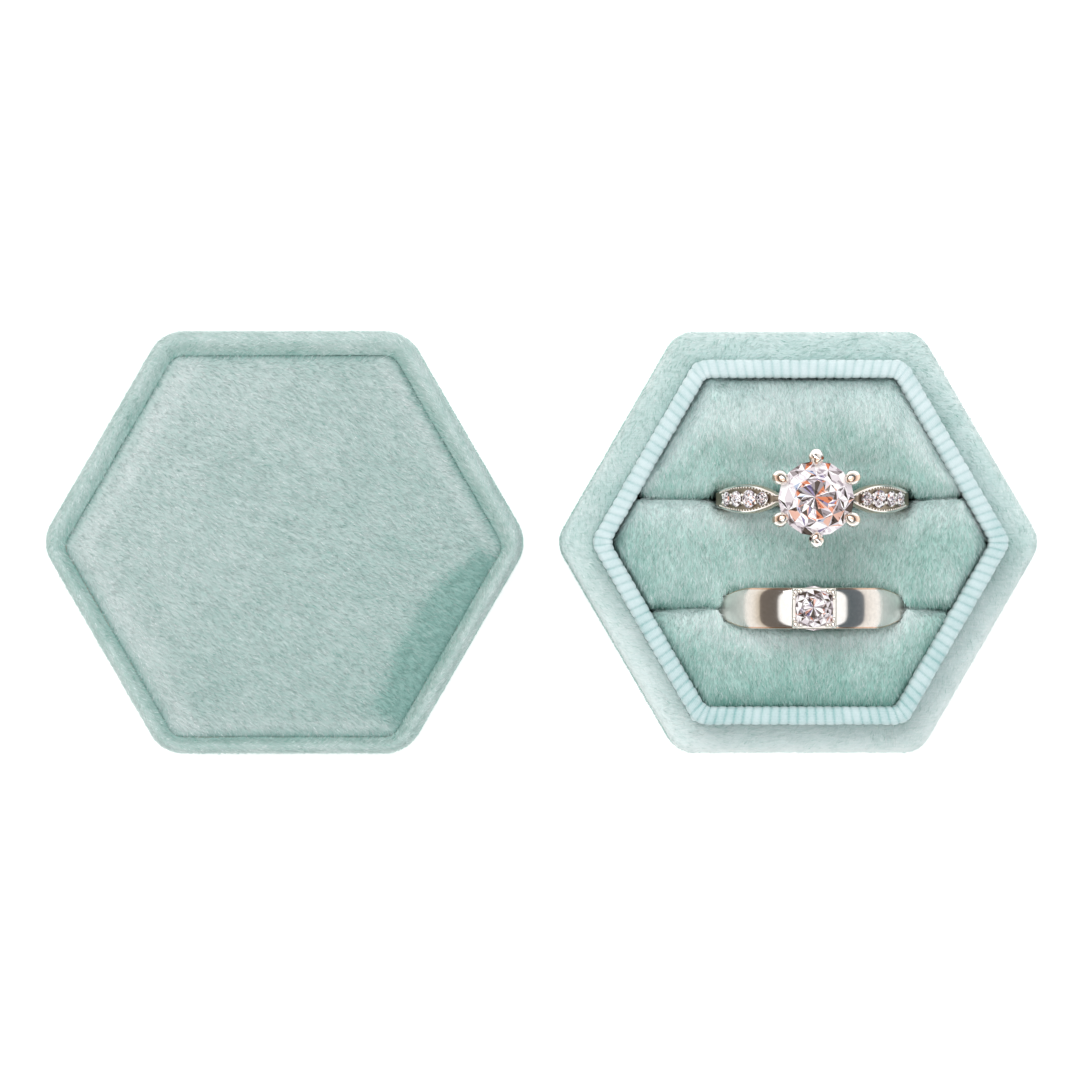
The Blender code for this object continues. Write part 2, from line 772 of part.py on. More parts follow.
def build_head(name, tip_z, material, parent):
    """The six-claw head, in one piece with its gallery ring."""
    wire_z = tip_z + GALLERY_WIRE - STONE_RISE + SEAT_GAP
    head = gallery_ring(name, GALLERY_RADIUS, wire_z, GALLERY_WIRE, material)
    claws = []
    for k in range(CLAW_COUNT):
        turn = math.radians(FIRST_CLAW_ANGLE + 360.0 * k / CLAW_COUNT)
        path = claw_path(turn, tip_z)
        radii = [CLAW_RADIUS] * len(CLAW_FOOT_SHARES) + [CLAW_TIP_RADIUS] * len(CLAW_BENDS)
        radii.append(CLAW_TIP_SHARE * CLAW_TIP_RADIUS)
        claws.append(sweep(f"claw_{k}", path, radii, CLAW_SIDES, material))
    combine(head, claws, "UNION")
    head.parent = parent
    return head


def build_solitaire(mats, ring):
    """The solitaire: leaf-shouldered shank, head, centre stone and small set stones."""
    build_shank("solitaire_shank", leaf_half_width, mats["silver"], ring)
    tip_z = SHANK_OUTER + STONE_RISE
    build_head("solitaire_head", tip_z, mats["silver"], ring)
    build_stone("solitaire_stone", STONE_DIAMETER, (0.0, 0.0, tip_z), (0.0, 0.0, 1.0),
                mats["stone"], ring)
    number = 1
    for side in (-1, 1):
        for degrees, diameter in ACCENTS:
            turn = math.radians(side * degrees)
            out = (math.sin(turn), 0.0, math.cos(turn))
            reach = SHANK_OUTER + SEAT_GAP
            tip = tuple(reach * value for value in out)
            build_stone(f"accent_stone_{number}", diameter, tip, out, mats["stone"], ring)
            number += 1


def box_object(name, size, centre, material):
    """A plain block."""
    work = bmesh.new()
    bmesh.ops.create_cube(work, size=1.0)
    vertices = [
        (v.co.x * size[0] + centre[0], v.co.y * size[1] + centre[1], v.co.z * size[2] + centre[2])
        for v in work.verts
    ]
    faces = [tuple(v.index for v in face.verts) for face in work.faces]
    work.free()
    return mesh_object(name, vertices, faces, material)


def bead_object(name, centre, radius, material):
    """A small round bead."""
    work = bmesh.new()
    bmesh.ops.create_uvsphere(work, u_segments=8, v_segments=6, radius=radius)
    vertices = [tuple(v.co + Vector(centre)) for v in work.verts]
    faces = [tuple(v.index for v in face.verts) for face in work.faces]
    work.free()
    return mesh_object(name, vertices, faces, material)


def seat_cutter(name, tip_z, material):
    """A funnel a little larger than the band's stone, with a shaft down to the finger hole."""
    half = BAND_STONE_DIAMETER / 2 + SEAT_GAP
    drop = PAVILION_SHARE * BAND_STONE_DIAMETER
    shaft = SEAT_SHAFT_SHARE * half
    low = SHANK_INNER - SEAT_OVERRUN
    start = tip_z + drop * SEAT_SHAFT_SHARE - SEAT_GAP
    rings = [(shaft, low), (shaft, start), (half, tip_z + drop - SEAT_GAP),
             (half, tip_z + drop + SEAT_OVERRUN)]
    sides = SEAT_SIDES
    vertices = []
    for radius, z in rings:
        for k in range(sides):
            turn = 2 * math.pi * k / sides
            vertices.append((radius * math.cos(turn), radius * math.sin(turn), z))
    faces = []
    for row in range(len(rings) - 1):
        for k in range(sides):
            nxt = (k + 1) % sides
            here = row * sides
            there = here + sides
            faces.append((here + k, here + nxt, there + nxt, there + k))
    faces.append(tuple(range(sides)))
    faces.append(tuple(range((len(rings) - 1) * sides, len(rings) * sides)))
    return mesh_object(name, vertices, faces, material)


def build_band(mats, ring):
    """The band with one stone set flush in a raised square setting."""
    shank = build_shank("band_shank", band_half_width, mats["silver"], ring)
    shank.parent = None
    top = SHANK_OUTER + SETTING_RISE
    deep = SETTING_RISE + SETTING_SINK
    middle = (0.0, 0.0, top - deep / 2)
    block = box_object("block", (SETTING_LENGTH, BAND_WIDTH, deep), middle, mats["silver"])
    beads = []
    along = SETTING_LENGTH / 2 - BEAD_RADIUS - BEAD_INSET
    aside = BAND_WIDTH / 2 - BEAD_RADIUS - BEAD_INSET
    for sx in (-1, 1):
        for sy in (-1, 1):
            centre = (sx * along, sy * aside, top + BEAD_LIFT)
            beads.append(bead_object("bead", centre, BEAD_RADIUS, mats["silver"]))
    combine(shank, [block] + beads, "UNION")
    tip_z = top - PAVILION_SHARE * BAND_STONE_DIAMETER
    combine(shank, [seat_cutter("seat", tip_z, mats["silver"])], "DIFFERENCE")
    shank.parent = ring
    build_stone("band_stone", BAND_STONE_DIAMETER, (0.0, 0.0, tip_z), (0.0, 0.0, 1.0),
                mats["stone"], ring)


def clear_scene():
    """Remove everything that the scene starts with."""
    for thing in list(bpy.data.objects):
        bpy.data.objects.remove(thing)


def make_materials():
    """Every material of the box and the rings."""
    return {
        "velvet": make_material("velvet", (172, 202, 199), 0.95),
        "cushion": make_material("cushion velvet", (166, 199, 194), 0.95),
        "ribbon": make_material("grosgrain ribbon", (204, 228, 230), 0.7),
        "felt": make_material("underside felt", (160, 192, 188), 0.95),
        "board": make_material("greyboard", (168, 162, 150), 0.85),
        "foam": make_material("foam", (226, 228, 222), 0.9),
        "lining": make_material("satin lining", (208, 226, 226), 0.45),
        "silver": make_material("white gold", (226, 220, 214), 0.12, 1.0),
        "stone": make_material("clear stone", (240, 242, 246), 0.02),
    }


def main():
    """Build the box, its lid and the two rings."""
    clear_scene()
    mats = make_materials()
    build_base(mats)
    build_cushion(mats)
    lid = joint_empty("lid_lift", (LID_CENTRE_X, 0.0, 0.0))
    build_lid(mats, lid)
    solitaire = joint_empty("solitaire_lift", (RING_X, BACK_SLOT_Y, SOLITAIRE_Z))
    build_solitaire(mats, solitaire)
    band = joint_empty("band_lift", (RING_X, FRONT_SLOT_Y, BAND_Z))
    build_band(mats, band)


main()
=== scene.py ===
"""Looks of the velvet ring box: lid beside the open base, ribbon collar, cushion and rings."""

import json
import math
import random

import bmesh
import bpy
import numpy as np
from mathutils import Matrix, Vector, noise


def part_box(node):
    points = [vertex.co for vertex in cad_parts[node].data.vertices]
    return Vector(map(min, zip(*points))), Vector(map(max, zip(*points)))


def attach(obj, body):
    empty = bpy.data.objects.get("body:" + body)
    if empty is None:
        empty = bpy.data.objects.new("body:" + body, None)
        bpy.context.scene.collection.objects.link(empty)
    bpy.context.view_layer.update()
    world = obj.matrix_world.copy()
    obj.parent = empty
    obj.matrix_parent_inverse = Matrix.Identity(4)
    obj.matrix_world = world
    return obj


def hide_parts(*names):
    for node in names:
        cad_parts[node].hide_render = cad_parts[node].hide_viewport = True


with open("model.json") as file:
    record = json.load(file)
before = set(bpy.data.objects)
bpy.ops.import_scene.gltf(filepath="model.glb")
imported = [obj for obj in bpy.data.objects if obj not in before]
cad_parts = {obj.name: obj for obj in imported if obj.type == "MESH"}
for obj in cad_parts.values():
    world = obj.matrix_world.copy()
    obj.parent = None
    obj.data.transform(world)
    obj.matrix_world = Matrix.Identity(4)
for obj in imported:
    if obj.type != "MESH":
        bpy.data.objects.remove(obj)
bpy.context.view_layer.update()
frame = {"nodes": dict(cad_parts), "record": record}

MM = 0.001


# ---------------------------------------------------------------- colours and node materials


def srgb(r, g, b):
    """Linear colour of an 8-bit screen colour."""
    out = []
    for value in (r, g, b):
        share = value / 255.0
        out.append(share / 12.92 if share <= 0.04045 else ((share + 0.055) / 1.055) ** 2.4)
    return (*out, 1.0)


def set_ramp(node, stops):
    """Give a colour ramp node its (position, colour) stops."""
    elements = node.color_ramp.elements
    while len(elements) < len(stops):
        elements.new(0.5)
    for element, (position, colour) in zip(elements, stops):
        element.position = position
        element.color = (*colour[:3], 1.0)


class Nodes:
    """A small helper that builds one material's node tree."""

    def __init__(self, name):
        self.material = bpy.data.materials.new(name)
        self.material.use_nodes = True
        self.tree = self.material.node_tree
        self.shader = self.tree.nodes["Principled BSDF"]

    def add(self, kind, **values):
        """A node with the given properties."""
        node = self.tree.nodes.new(kind)
        for key, value in values.items():
            setattr(node, key, value)
        return node

    def link(self, source, target):
        """Join an output to an input."""
        self.tree.links.new(source, target)

    def place(self, scale, turn=(0.0, 0.0, 0.0)):
        """Object coordinates, turned and then scaled, as a vector output."""
        coords = self.add("ShaderNodeTexCoord")
        turned = self.add("ShaderNodeMapping", vector_type="POINT")
        turned.inputs["Rotation"].default_value = turn
        scaled = self.add("ShaderNodeMapping", vector_type="POINT")
        scaled.inputs["Scale"].default_value = scale
        self.link(coords.outputs["Object"], turned.inputs["Vector"])
        self.link(turned.outputs["Vector"], scaled.inputs["Vector"])
        return scaled.outputs["Vector"]

    def noise(self, vector, scale=1.0, detail=3.0, roughness=0.55):
        """Fractal noise as a factor output."""
        node = self.add("ShaderNodeTexNoise")
        node.inputs["Scale"].default_value = scale
        node.inputs["Detail"].default_value = detail
        node.inputs["Roughness"].default_value = roughness
        self.link(vector, node.inputs["Vector"])
        return node.outputs["Fac"]

    def ramp(self, factor, stops):
        """A colour ramp from (position, colour) stops."""
        node = self.add("ShaderNodeValToRGB")
        set_ramp(node, stops)
        self.link(factor, node.inputs["Fac"])
        return node.outputs["Color"]

    def attribute(self, name):
        """A number stored at the mesh's points, as a factor output."""
        return self.add("ShaderNodeAttribute", attribute_name=name).outputs["Fac"]

    def maths(self, operation, *values):
        """A maths node fed by outputs or plain numbers."""
        node = self.add("ShaderNodeMath", operation=operation)
        for socket, value in zip(node.inputs, values):
            if isinstance(value, (int, float)):
                socket.default_value = value
            else:
                self.link(value, socket)
        return node.outputs["Value"]

    def span(self, value, **limits):
        """A factor mapped from one range to another."""
        node = self.add("ShaderNodeMapRange")
        for key, limit in limits.items():
            node.inputs[key.replace("_", " ")].default_value = limit
        self.link(value, node.inputs["Value"])
        return node.outputs["Result"]

    def bump(self, height, distance, strength=1.0, below=None):
        """A bump normal from a height factor."""
        node = self.add("ShaderNodeBump")
        node.inputs["Strength"].default_value = strength
        node.inputs["Distance"].default_value = distance
        self.link(height, node.inputs["Height"])
        if below is not None:
            self.link(below, node.inputs["Normal"])
        return node.outputs["Normal"]

    def finish(self, colour=None, normal=None, **sockets):
        """Wire colour and normal, and set the shader's own sockets."""
        if colour is not None:
            self.link(colour, self.shader.inputs["Base Color"])
        if normal is not None:
            self.link(normal, self.shader.inputs["Normal"])
        for key, value in sockets.items():
            self.shader.inputs[key.replace("_", " ")].default_value = value
        return self.material


STREAK_SHARE = 0.9
BLOTCH_SHARE = 0.2


def velvet_material(name, dark, middle, light, nap_turn):
    """Short pile velvet: streaks along the nap over the painted light and shade stored at its
    points.
    """
    n = Nodes(name)
    streaks = n.noise(n.place((900, 5600, 2600), (0, 0, nap_turn)), detail=2.0)
    fine = n.noise(n.place((2600, 9000, 6000), (0, 0, nap_turn + 0.25)), detail=1.0)
    blotches = n.noise(n.place((260, 260, 260)), detail=3.0)
    # The "nap" attribute is painted light and shade: lighter where the surface is lit, darker in
    # creases and on shaded sides.
    lean = n.maths("MULTIPLY_ADD", streaks, STREAK_SHARE, n.attribute("nap"))
    patch = n.maths("MULTIPLY_ADD", blotches, BLOTCH_SHARE, lean)
    level = n.span(patch, From_Min=0.545, From_Max=1.545)
    colour = n.ramp(level, [(0.0, dark), (0.5, middle), (1.0, light)])
    normal = n.bump(fine, 0.10 * MM, 0.5)
    normal = n.bump(streaks, 0.16 * MM, 0.7, normal)
    return n.finish(colour, normal, Roughness=0.92, Sheen_Weight=0.35, Sheen_Roughness=0.35,
                    Sheen_Tint=light, Specular_IOR_Level=0.15)


def fibre_material(name, colour):
    """One even shade of velvet fibre."""
    n = Nodes(name)
    return n.finish(Base_Color=colour, Roughness=0.7, Sheen_Weight=0.3, Sheen_Roughness=0.3,
                    Sheen_Tint=colour, Specular_IOR_Level=0.25)


THREAD_PITCH = 0.17 * MM
THREAD_WANDER = 5.0
THREAD_SHARE = 0.07
SPECK_SHARE = 0.40


def ribbon_material(name):
    """Grosgrain: ribs lighter than the grooves between them, the grooves holding painted shade,
    with fine warp threads.
    """
    n = Nodes(name)
    specks = n.noise(n.place((5200, 5200, 5200)), detail=2.0)
    wander = n.maths("MULTIPLY", specks, THREAD_WANDER)
    turns = n.maths("MULTIPLY_ADD", n.attribute("across"), 2 * math.pi / THREAD_PITCH, wander)
    # The "nap" attribute holds the ribbon's painted light and shade.
    ribs = n.maths("MULTIPLY_ADD", specks, SPECK_SHARE, n.attribute("nap"))
    woven = n.maths("MULTIPLY_ADD", n.maths("SINE", turns), THREAD_SHARE, ribs)
    colour = n.ramp(woven, [(0.22, srgb(132, 176, 176)), (0.60, srgb(181, 205, 207)),
                            (0.98, srgb(204, 220, 223))])
    normal = n.bump(woven, 0.05 * MM, 0.6)
    return n.finish(colour, normal, Roughness=0.6, Sheen_Weight=0.2, Sheen_Roughness=0.4,
                    Specular_IOR_Level=0.3)


WORN_METALLIC = 0.75


def metal_material(name, colour, roughness, worn=None):
    """Polished metal with faint handling marks, duller to worn where "satin" rises to 1."""
    n = Nodes(name)
    marks = n.noise(n.place((2500, 2500, 2500)), detail=2.0)
    tint = tuple(c * 0.93 for c in colour[:3]) + (1.0,)
    shade = n.ramp(marks, [(0.35, tint), (0.65, colour)])
    normal = n.bump(marks, 0.004 * MM, 0.3)
    if worn is not None:
        satin = n.attribute("satin")
        for socket, polished, dull in (("Roughness", roughness, worn),
                                       ("Metallic", 1.0, WORN_METALLIC)):
            n.link(n.span(satin, To_Min=polished, To_Max=dull), n.shader.inputs[socket])
    return n.finish(shade, normal, Metallic=1.0, Roughness=roughness)


def facet_material(name, colour, deep):
    """One facet's painted reflection tone, broken by darker slivers of painted inner reflection."""
    n = Nodes(name)
    cells = n.add("ShaderNodeTexVoronoi", feature="F1", distance="CHEBYCHEV")
    cells.inputs["Scale"].default_value = 1.0
    n.link(n.place((1700, 4200, 1700), (0, 0, 0.6)), cells.inputs["Vector"])
    shade = n.add("ShaderNodeSeparateColor")
    n.link(cells.outputs["Color"], shade.inputs["Color"])
    tone = n.ramp(shade.outputs["Red"], [(0.0, deep), (0.20, deep), (0.24, colour),
                                         (1.0, colour)])
    return n.finish(tone, None, Roughness=0.05, Coat_Weight=0.15, Coat_Roughness=0.02,
                    Specular_IOR_Level=0.35)


def board_material(name):
    """Greyboard with pulp specks."""
    n = Nodes(name)
    specks = n.noise(n.place((1800, 1800, 1800)), detail=4.0)
    colour = n.ramp(specks, [(0.35, srgb(140, 133, 120)), (0.5, srgb(168, 162, 150)),
                             (0.7, srgb(190, 184, 172))])
    return n.finish(colour, n.bump(specks, 0.05 * MM, 0.4), Roughness=0.9)


def lining_material(name):
    """Satin lining with fine lengthwise threads."""
    n = Nodes(name)
    threads = n.noise(n.place((600, 600, 7000)), detail=2.0)
    colour = n.ramp(threads, [(0.3, srgb(188, 213, 214)), (0.7, srgb(214, 233, 233))])
    return n.finish(colour, n.bump(threads, 0.03 * MM, 0.4), Roughness=0.42, Sheen_Weight=0.2)


# ---------------------------------------------------------------- mesh helpers


def new_object(name, vertices, faces, materials, shades=None, smooth=True, sharp=None):
    """A mesh object; shades gives each face's material index."""
    mesh = bpy.data.meshes.new(name)
    mesh.from_pydata([tuple(v) for v in vertices], [], [tuple(f) for f in faces])
    for material in materials:
        mesh.materials.append(material)
    if shades is not None:
        mesh.polygons.foreach_set("material_index", shades)
    mesh.update()
    thing = bpy.data.objects.new(name, mesh)
    bpy.context.scene.collection.objects.link(thing)
    if smooth:
        mesh.shade_smooth()
        if sharp is not None:
            mesh.set_sharp_from_angle(angle=math.radians(sharp))
    return thing


def orient(thing):
    """Make the faces of a closed mesh point outwards."""
    work = bmesh.new()
    work.from_mesh(thing.data)
    bmesh.ops.recalc_face_normals(work, faces=work.faces)
    work.to_mesh(thing.data)
    work.free()
    return thing


def grid_faces(rows, columns, wrap_rows, wrap_columns):
    """Quads of a grid of rows by columns."""
    faces = []
    for row in range(rows if wrap_rows else rows - 1):
        below = row * columns
        above = ((row + 1) % rows) * columns
        for k in range(columns if wrap_columns else columns - 1):
            after = (k + 1) % columns
            faces.append((below + k, below + after, above + after, above + k))
    return faces


def ripple(point, scale, seed=0.0):
    """Smooth noise from -1 to 1 at a point in metres; scale is the wavelength in metres."""
    return noise.noise(Vector(point) / scale + Vector((seed, seed * 1.7, seed * 0.3)))


def smoothstep(value):
    """Ease from 0 to 1."""
    value = min(1.0, max(0.0, value))
    return value * value * (3 - 2 * value)


def hexagon(apothem, corner, straight, arc):
    """Rounded hexagon as (x, y, outward x, outward y, corner share), flats front and back."""
    points = []
    reach = (apothem - corner) / math.cos(math.radians(30.0))
    for side in range(6):
        middle = math.radians(60.0 * side)
        nxt = math.radians(60.0 * (side + 1))
        for step in range(arc):
            angle = middle + math.radians(-30.0 + 60.0 * step / arc)
            nx, ny = math.cos(angle), math.sin(angle)
            share = math.sin(math.pi * step / arc)
            points.append((reach * math.cos(middle) + corner * nx,
                           reach * math.sin(middle) + corner * ny, nx, ny, share))
        angle = middle + math.radians(30.0)
        nx, ny = math.cos(angle), math.sin(angle)
        ax, ay = reach * math.cos(middle) + corner * nx, reach * math.sin(middle) + corner * ny
        bx, by = reach * math.cos(nxt) + corner * nx, reach * math.sin(nxt) + corner * ny
        for step in range(straight):
            t = step / straight
            points.append((ax + (bx - ax) * t, ay + (by - ay) * t, nx, ny, 0.0))
    return points


STRAIGHT_STEPS = 44
ARC_STEPS = 14
HEXAGON_POINTS = 6 * (STRAIGHT_STEPS + ARC_STEPS)


def hexagon_tube(name, profile, half, corners, centre, shift, material, wobble):
    """A closed ring of rounded hexagons along (inset, z, shift share) points.

    corners are the outline's own corner radius and the least that it shrinks to.
    """
    vertices = []
    for inset, z, moved in profile:
        radius = max(corners[0] - inset, corners[1])
        for x, y, nx, ny, _ in hexagon(half - inset, radius, STRAIGHT_STEPS, ARC_STEPS):
            px, py = centre[0] + x, centre[1] + y + shift * moved
            lift = wobble * ripple((px, py, z), 3.2 * MM) * (0.35 + 0.65 * moved)
            vertices.append((px + nx * lift, py + ny * lift, z + lift * moved))
    faces = grid_faces(len(profile), HEXAGON_POINTS, True, True)
    return orient(new_object(name, vertices, faces, [material]))


def foot_and_wall(low, wall_top):
    """A cover's profile from the turn under its foot to near the top of its wall."""
    foot = [(0.45 * MM, low, 0.0), (0.1 * MM, low + 0.15 * MM, 0.0), (0.0, low + 0.6 * MM, 0.0)]
    return foot + [(0.0, low + (wall_top - low) * step / 12, 0.0) for step in range(1, 12)]


def centre_of(*nodes):
    """Centre, lowest and highest corner of some CAD nodes together."""
    lows = [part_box(node)[0] for node in nodes]
    highs = [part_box(node)[1] for node in nodes]
    low = Vector([min(v[k] for v in lows) for k in range(3)])
    high = Vector([max(v[k] for v in highs) for k in range(3)])
    return (low + high) / 2, low, high


def carry(thing, body, slot, *nodes):
    """Ride on a body and stand for the given CAD nodes, which it hides; slot is not used."""
    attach(thing, body)
    if nodes:
        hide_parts(*nodes)
    return thing


def store_numbers(thing, attribute, values):
    """Give a mesh one number at each point, for its material to read."""
    layer = thing.data.attributes.new(attribute, "FLOAT", "POINT")
    layer.data.foreach_set("value", values)


def set_painted_light(thing, sweep):
    """Store the painted light and shade at each point, from 0 (shaded) to 1 (lit), with some random
    tone, for the material.
    """
    # The "nap" attribute holds this painted light and shade.
    store_numbers(thing, "nap", [sweep(v.co, v.normal) for v in thing.data.vertices])


def nap_blades(name, source, fibres, count, length, width, direction, tilt, keep, sweep, seed):
    """Short fibres on a surface, lying along direction(), each in the fibre shade that the painted
    light and shade of sweep() picks.
    """
    chance = random.Random(seed)
    mesh = source.data
    mesh.calc_loop_triangles()
    corners = np.empty(len(mesh.loop_triangles) * 3, dtype=np.int64)
    mesh.loop_triangles.foreach_get("vertices", corners)
    corners = corners.reshape(-1, 3)
    points = np.empty(len(mesh.vertices) * 3)
    mesh.vertices.foreach_get("co", points)
    points = points.reshape(-1, 3)
    a, b, c = points[corners[:, 0]], points[corners[:, 1]], points[corners[:, 2]]
    cross = np.cross(b - a, c - a)
    area = np.linalg.norm(cross, axis=1) / 2
    normals = cross / np.maximum(2 * area[:, None], 1e-18)
    weight = np.cumsum(area * keep((a + b + c) / 3, normals))
    vertices, faces, shades = [], [], []
    for _ in range(count):
        index = int(np.searchsorted(weight, chance.random() * weight[-1]))
        u, v = chance.random(), chance.random()
        if u + v > 1:
            u, v = 1 - u, 1 - v
        root = Vector(a[index] + (b[index] - a[index]) * u + (c[index] - a[index]) * v)
        normal = Vector(normals[index])
        along = Vector(direction(root, normal))
        along -= normal * along.dot(normal)
        if along.length < 1e-6:
            continue
        along.normalize()
        along = Matrix.Rotation(chance.gauss(0.0, 0.30), 3, normal) @ along
        rise = chance.uniform(*tilt)
        size = length * chance.uniform(0.6, 1.25)
        aside = normal.cross(along)
        aside = Matrix.Rotation(chance.gauss(0.0, 0.5), 3, along) @ aside
        half = aside * (width * chance.uniform(0.6, 1.3) / 2)
        tip = root + (along * math.cos(rise) + normal * math.sin(rise)) * size
        base = len(vertices)
        # Painted light and shade: a fibre's shade follows sweep(), with some random spread.
        shade = sweep(root, normal) * (len(fibres) - 1) + chance.gauss(0.0, 0.85)
        root = root - normal * 0.02 * MM
        vertices += [root - half, root + half, tip]
        faces.append((base, base + 1, base + 2))
        shades.append(min(len(fibres) - 1, max(0, round(shade))))
    return new_object(name, vertices, faces, fibres, shades, smooth=False)


SIM_SCALE = 20.0
SIM_FRAMES = 20
SIM_PRESSURE = 4.0


def swell(thing, voxel, cap, hold):
    """Fill a pad by a cloth simulation at toy scale; hold() says how free each point is."""
    mesh = thing.data
    mesh.transform(Matrix.Scale(SIM_SCALE, 4))
    remesh = thing.modifiers.new("remesh", "REMESH")
    remesh.mode = "VOXEL"
    remesh.voxel_size = voxel * SIM_SCALE
    remesh.use_smooth_shade = True
    bake_modifiers(thing)
    start = [v.co.copy() for v in thing.data.vertices]
    cloth = thing.modifiers.new("cloth", "CLOTH")
    cloth.settings.quality = 5
    cloth.settings.use_pressure = True
    cloth.settings.uniform_pressure_force = SIM_PRESSURE
    cloth.settings.effector_weights.gravity = 0.0
    cloth.point_cache.frame_start = 1
    cloth.point_cache.frame_end = SIM_FRAMES
    for step in range(1, SIM_FRAMES + 1):
        bpy.context.scene.frame_set(step)
    bake_modifiers(thing)
    bpy.context.scene.frame_set(1)
    limit = cap * SIM_SCALE
    for vertex, before in zip(thing.data.vertices, start):
        move = vertex.co - before
        if move.length > limit:
            move *= limit / move.length
        vertex.co = before + move * hold(before / SIM_SCALE)
    smooth = thing.modifiers.new("smooth", "SUBSURF")
    smooth.levels = 1
    bake_modifiers(thing)
    thing.data.transform(Matrix.Scale(1.0 / SIM_SCALE, 4))
    thing.data.shade_smooth()


def bake_modifiers(thing):
    """Apply an object's modifiers to its mesh."""
    graph = bpy.context.evaluated_depsgraph_get()
    shape = bpy.data.meshes.new_from_object(thing.evaluated_get(graph))
    materials = list(thing.data.materials)
    thing.modifiers.clear()
    thing.data = shape
    shape.materials.clear()
    for material in materials:
        shape.materials.append(material)


# ---------------------------------------------------------------- materials

NAP_TURN = math.radians(30.0)
# The three velvets are one fabric: their different colours are painted sheen, set by how each
# piece's pile lies to the camera.
VELVET = velvet_material("lid velvet", srgb(136, 172, 166), srgb(171, 192, 189),
                         srgb(202, 213, 213), NAP_TURN)
SHOULDER_VELVET = velvet_material("base velvet", srgb(150, 186, 181), srgb(190, 211, 209),
                                  srgb(218, 229, 229), 0.0)
CUSHION_VELVET = velvet_material("cushion velvet", srgb(124, 172, 161), srgb(170, 203, 197),
                                 srgb(212, 227, 226), math.radians(90.0))
FIBRES = [fibre_material(f"fibre {word}", srgb(*shade)) for word, shade in (
    ("deep", (122, 170, 160)), ("dark", (154, 190, 183)), ("middle", (182, 206, 202)),
    ("light", (206, 221, 220)), ("pale", (226, 235, 235)))]
# The lid's fibres take the lid velvet's greyer painted sheen.
LID_FIBRES = [fibre_material(f"lid fibre {word}", srgb(*shade)) for word, shade in (
    ("deep", (118, 160, 153)), ("dark", (144, 173, 169)), ("middle", (168, 185, 183)),
    ("light", (196, 207, 207)), ("pale", (226, 231, 232)))]
RIBBON = ribbon_material("grosgrain")
SILVER = metal_material("white gold", srgb(240, 234, 228), 0.10)
# Painted reflection: a rose tint on edges and claw sides, standing for what the white gold reflects
# there.
ROSE_REFLECTION = metal_material("rose painted reflection", srgb(232, 200, 180), 0.16)
SATIN = metal_material("satin white gold", srgb(250, 246, 240), 0.30)
WORN = metal_material("worn white gold", srgb(250, 246, 241), 0.10, 0.36)
# Painted shade: darker gold for the recessed well in the solitaire's leaves.
WELL_SHADE = metal_material("gold with painted shade", srgb(168, 153, 136), 0.40)
# Painted shadow: dark brown gold in the pit under the band's stone.
PIT_SHADOW = metal_material("gold with painted shadow", srgb(150, 110, 80), 0.35)
BOARD = board_material("greyboard")
LINING = lining_material("satin")
# Painted reflections: a clear stone's facets in the white, grey, dark and coloured tones of the
# light it reflects and splits.
FACET_REFLECTIONS = [
    facet_material("facet white", srgb(250, 248, 250), srgb(222, 214, 222)),
    facet_material("facet pale", srgb(218, 210, 216), srgb(160, 150, 158)),
    facet_material("facet grey", srgb(150, 140, 144), srgb(92, 82, 82)),
    facet_material("facet dark", srgb(76, 64, 58), srgb(38, 28, 26)),
    facet_material("facet orange", srgb(206, 122, 84), srgb(128, 66, 44)),
    facet_material("facet rose", srgb(226, 180, 164), srgb(170, 118, 104)),
    facet_material("facet violet", srgb(140, 128, 164), srgb(82, 72, 112)),
    facet_material("facet blue", srgb(172, 186, 210), srgb(92, 104, 146)),
]


# ---------------------------------------------------------------- lid

LID_MID, LID_LOW, LID_HIGH = centre_of("lid_velvet_wrap")
LID_HALF = (LID_HIGH.y - LID_LOW.y) / 2
LID_CORNERS = (4.0 * MM, 0.35 * MM)
RIM_WIDTH = 2.15 * MM
RIM_SHIFT = -0.45 * MM
RIM_RISE = 1.6 * MM
RIM_CREST = 0.42
CREASE_DEPTH = 0.85 * MM
PANEL_PUFF = 0.50 * MM
PANEL_DOME = 0.35 * MM
LID_HEM = 2.15 * MM
VELVET_THICK = 0.8 * MM


def lid_cover():
    """The lid's velvet round the wall, with its raised soft rim."""
    top = LID_HIGH.z
    low = LID_LOW.z
    wall_top = top - RIM_RISE
    profile = foot_and_wall(low, wall_top)
    for step in range(0, 9):
        turn = math.radians(90.0 * step / 8)
        profile.append((RIM_CREST * RIM_WIDTH * (1 - math.cos(turn)),
                        wall_top + RIM_RISE * math.sin(turn), 0.25 * step / 8))
    for step in range(1, 10):
        share = step / 9
        profile.append((RIM_WIDTH * (RIM_CREST + (1 - RIM_CREST) * share),
                        top - CREASE_DEPTH * (1 - math.cos(math.pi * share * 0.86)) / 2,
                        0.25 + 0.75 * smoothstep(share)))
    profile += [(RIM_WIDTH + 0.02 * MM, top - 1.45 * MM, 1.0),
                (RIM_WIDTH - 0.2 * MM, top - 1.5 * MM, 1.0),
                (VELVET_THICK + 0.3 * MM, top - 1.1 * MM, 0.3),
                (VELVET_THICK, top - 1.8 * MM, 0.0), (VELVET_THICK, low + VELVET_THICK, 0.0),
                (LID_HEM, low + VELVET_THICK, 0.0), (LID_HEM, low, 0.0)]
    cover = hexagon_tube("lid_cover", profile, LID_HALF, LID_CORNERS, LID_MID, RIM_SHIFT,
                         VELVET, 0.10 * MM)
    set_painted_light(cover, lid_cover_painted_light)
    return carry(cover, "lid", "velvet", "lid_velvet_wrap")


def hexagon_depth(x, y, apothem):
    """Distance inside a hexagon with flats front and back, to its nearest side."""
    slant = 0.5 * math.sqrt(3) * abs(x) + 0.5 * abs(y)
    return apothem - max(abs(y), slant)


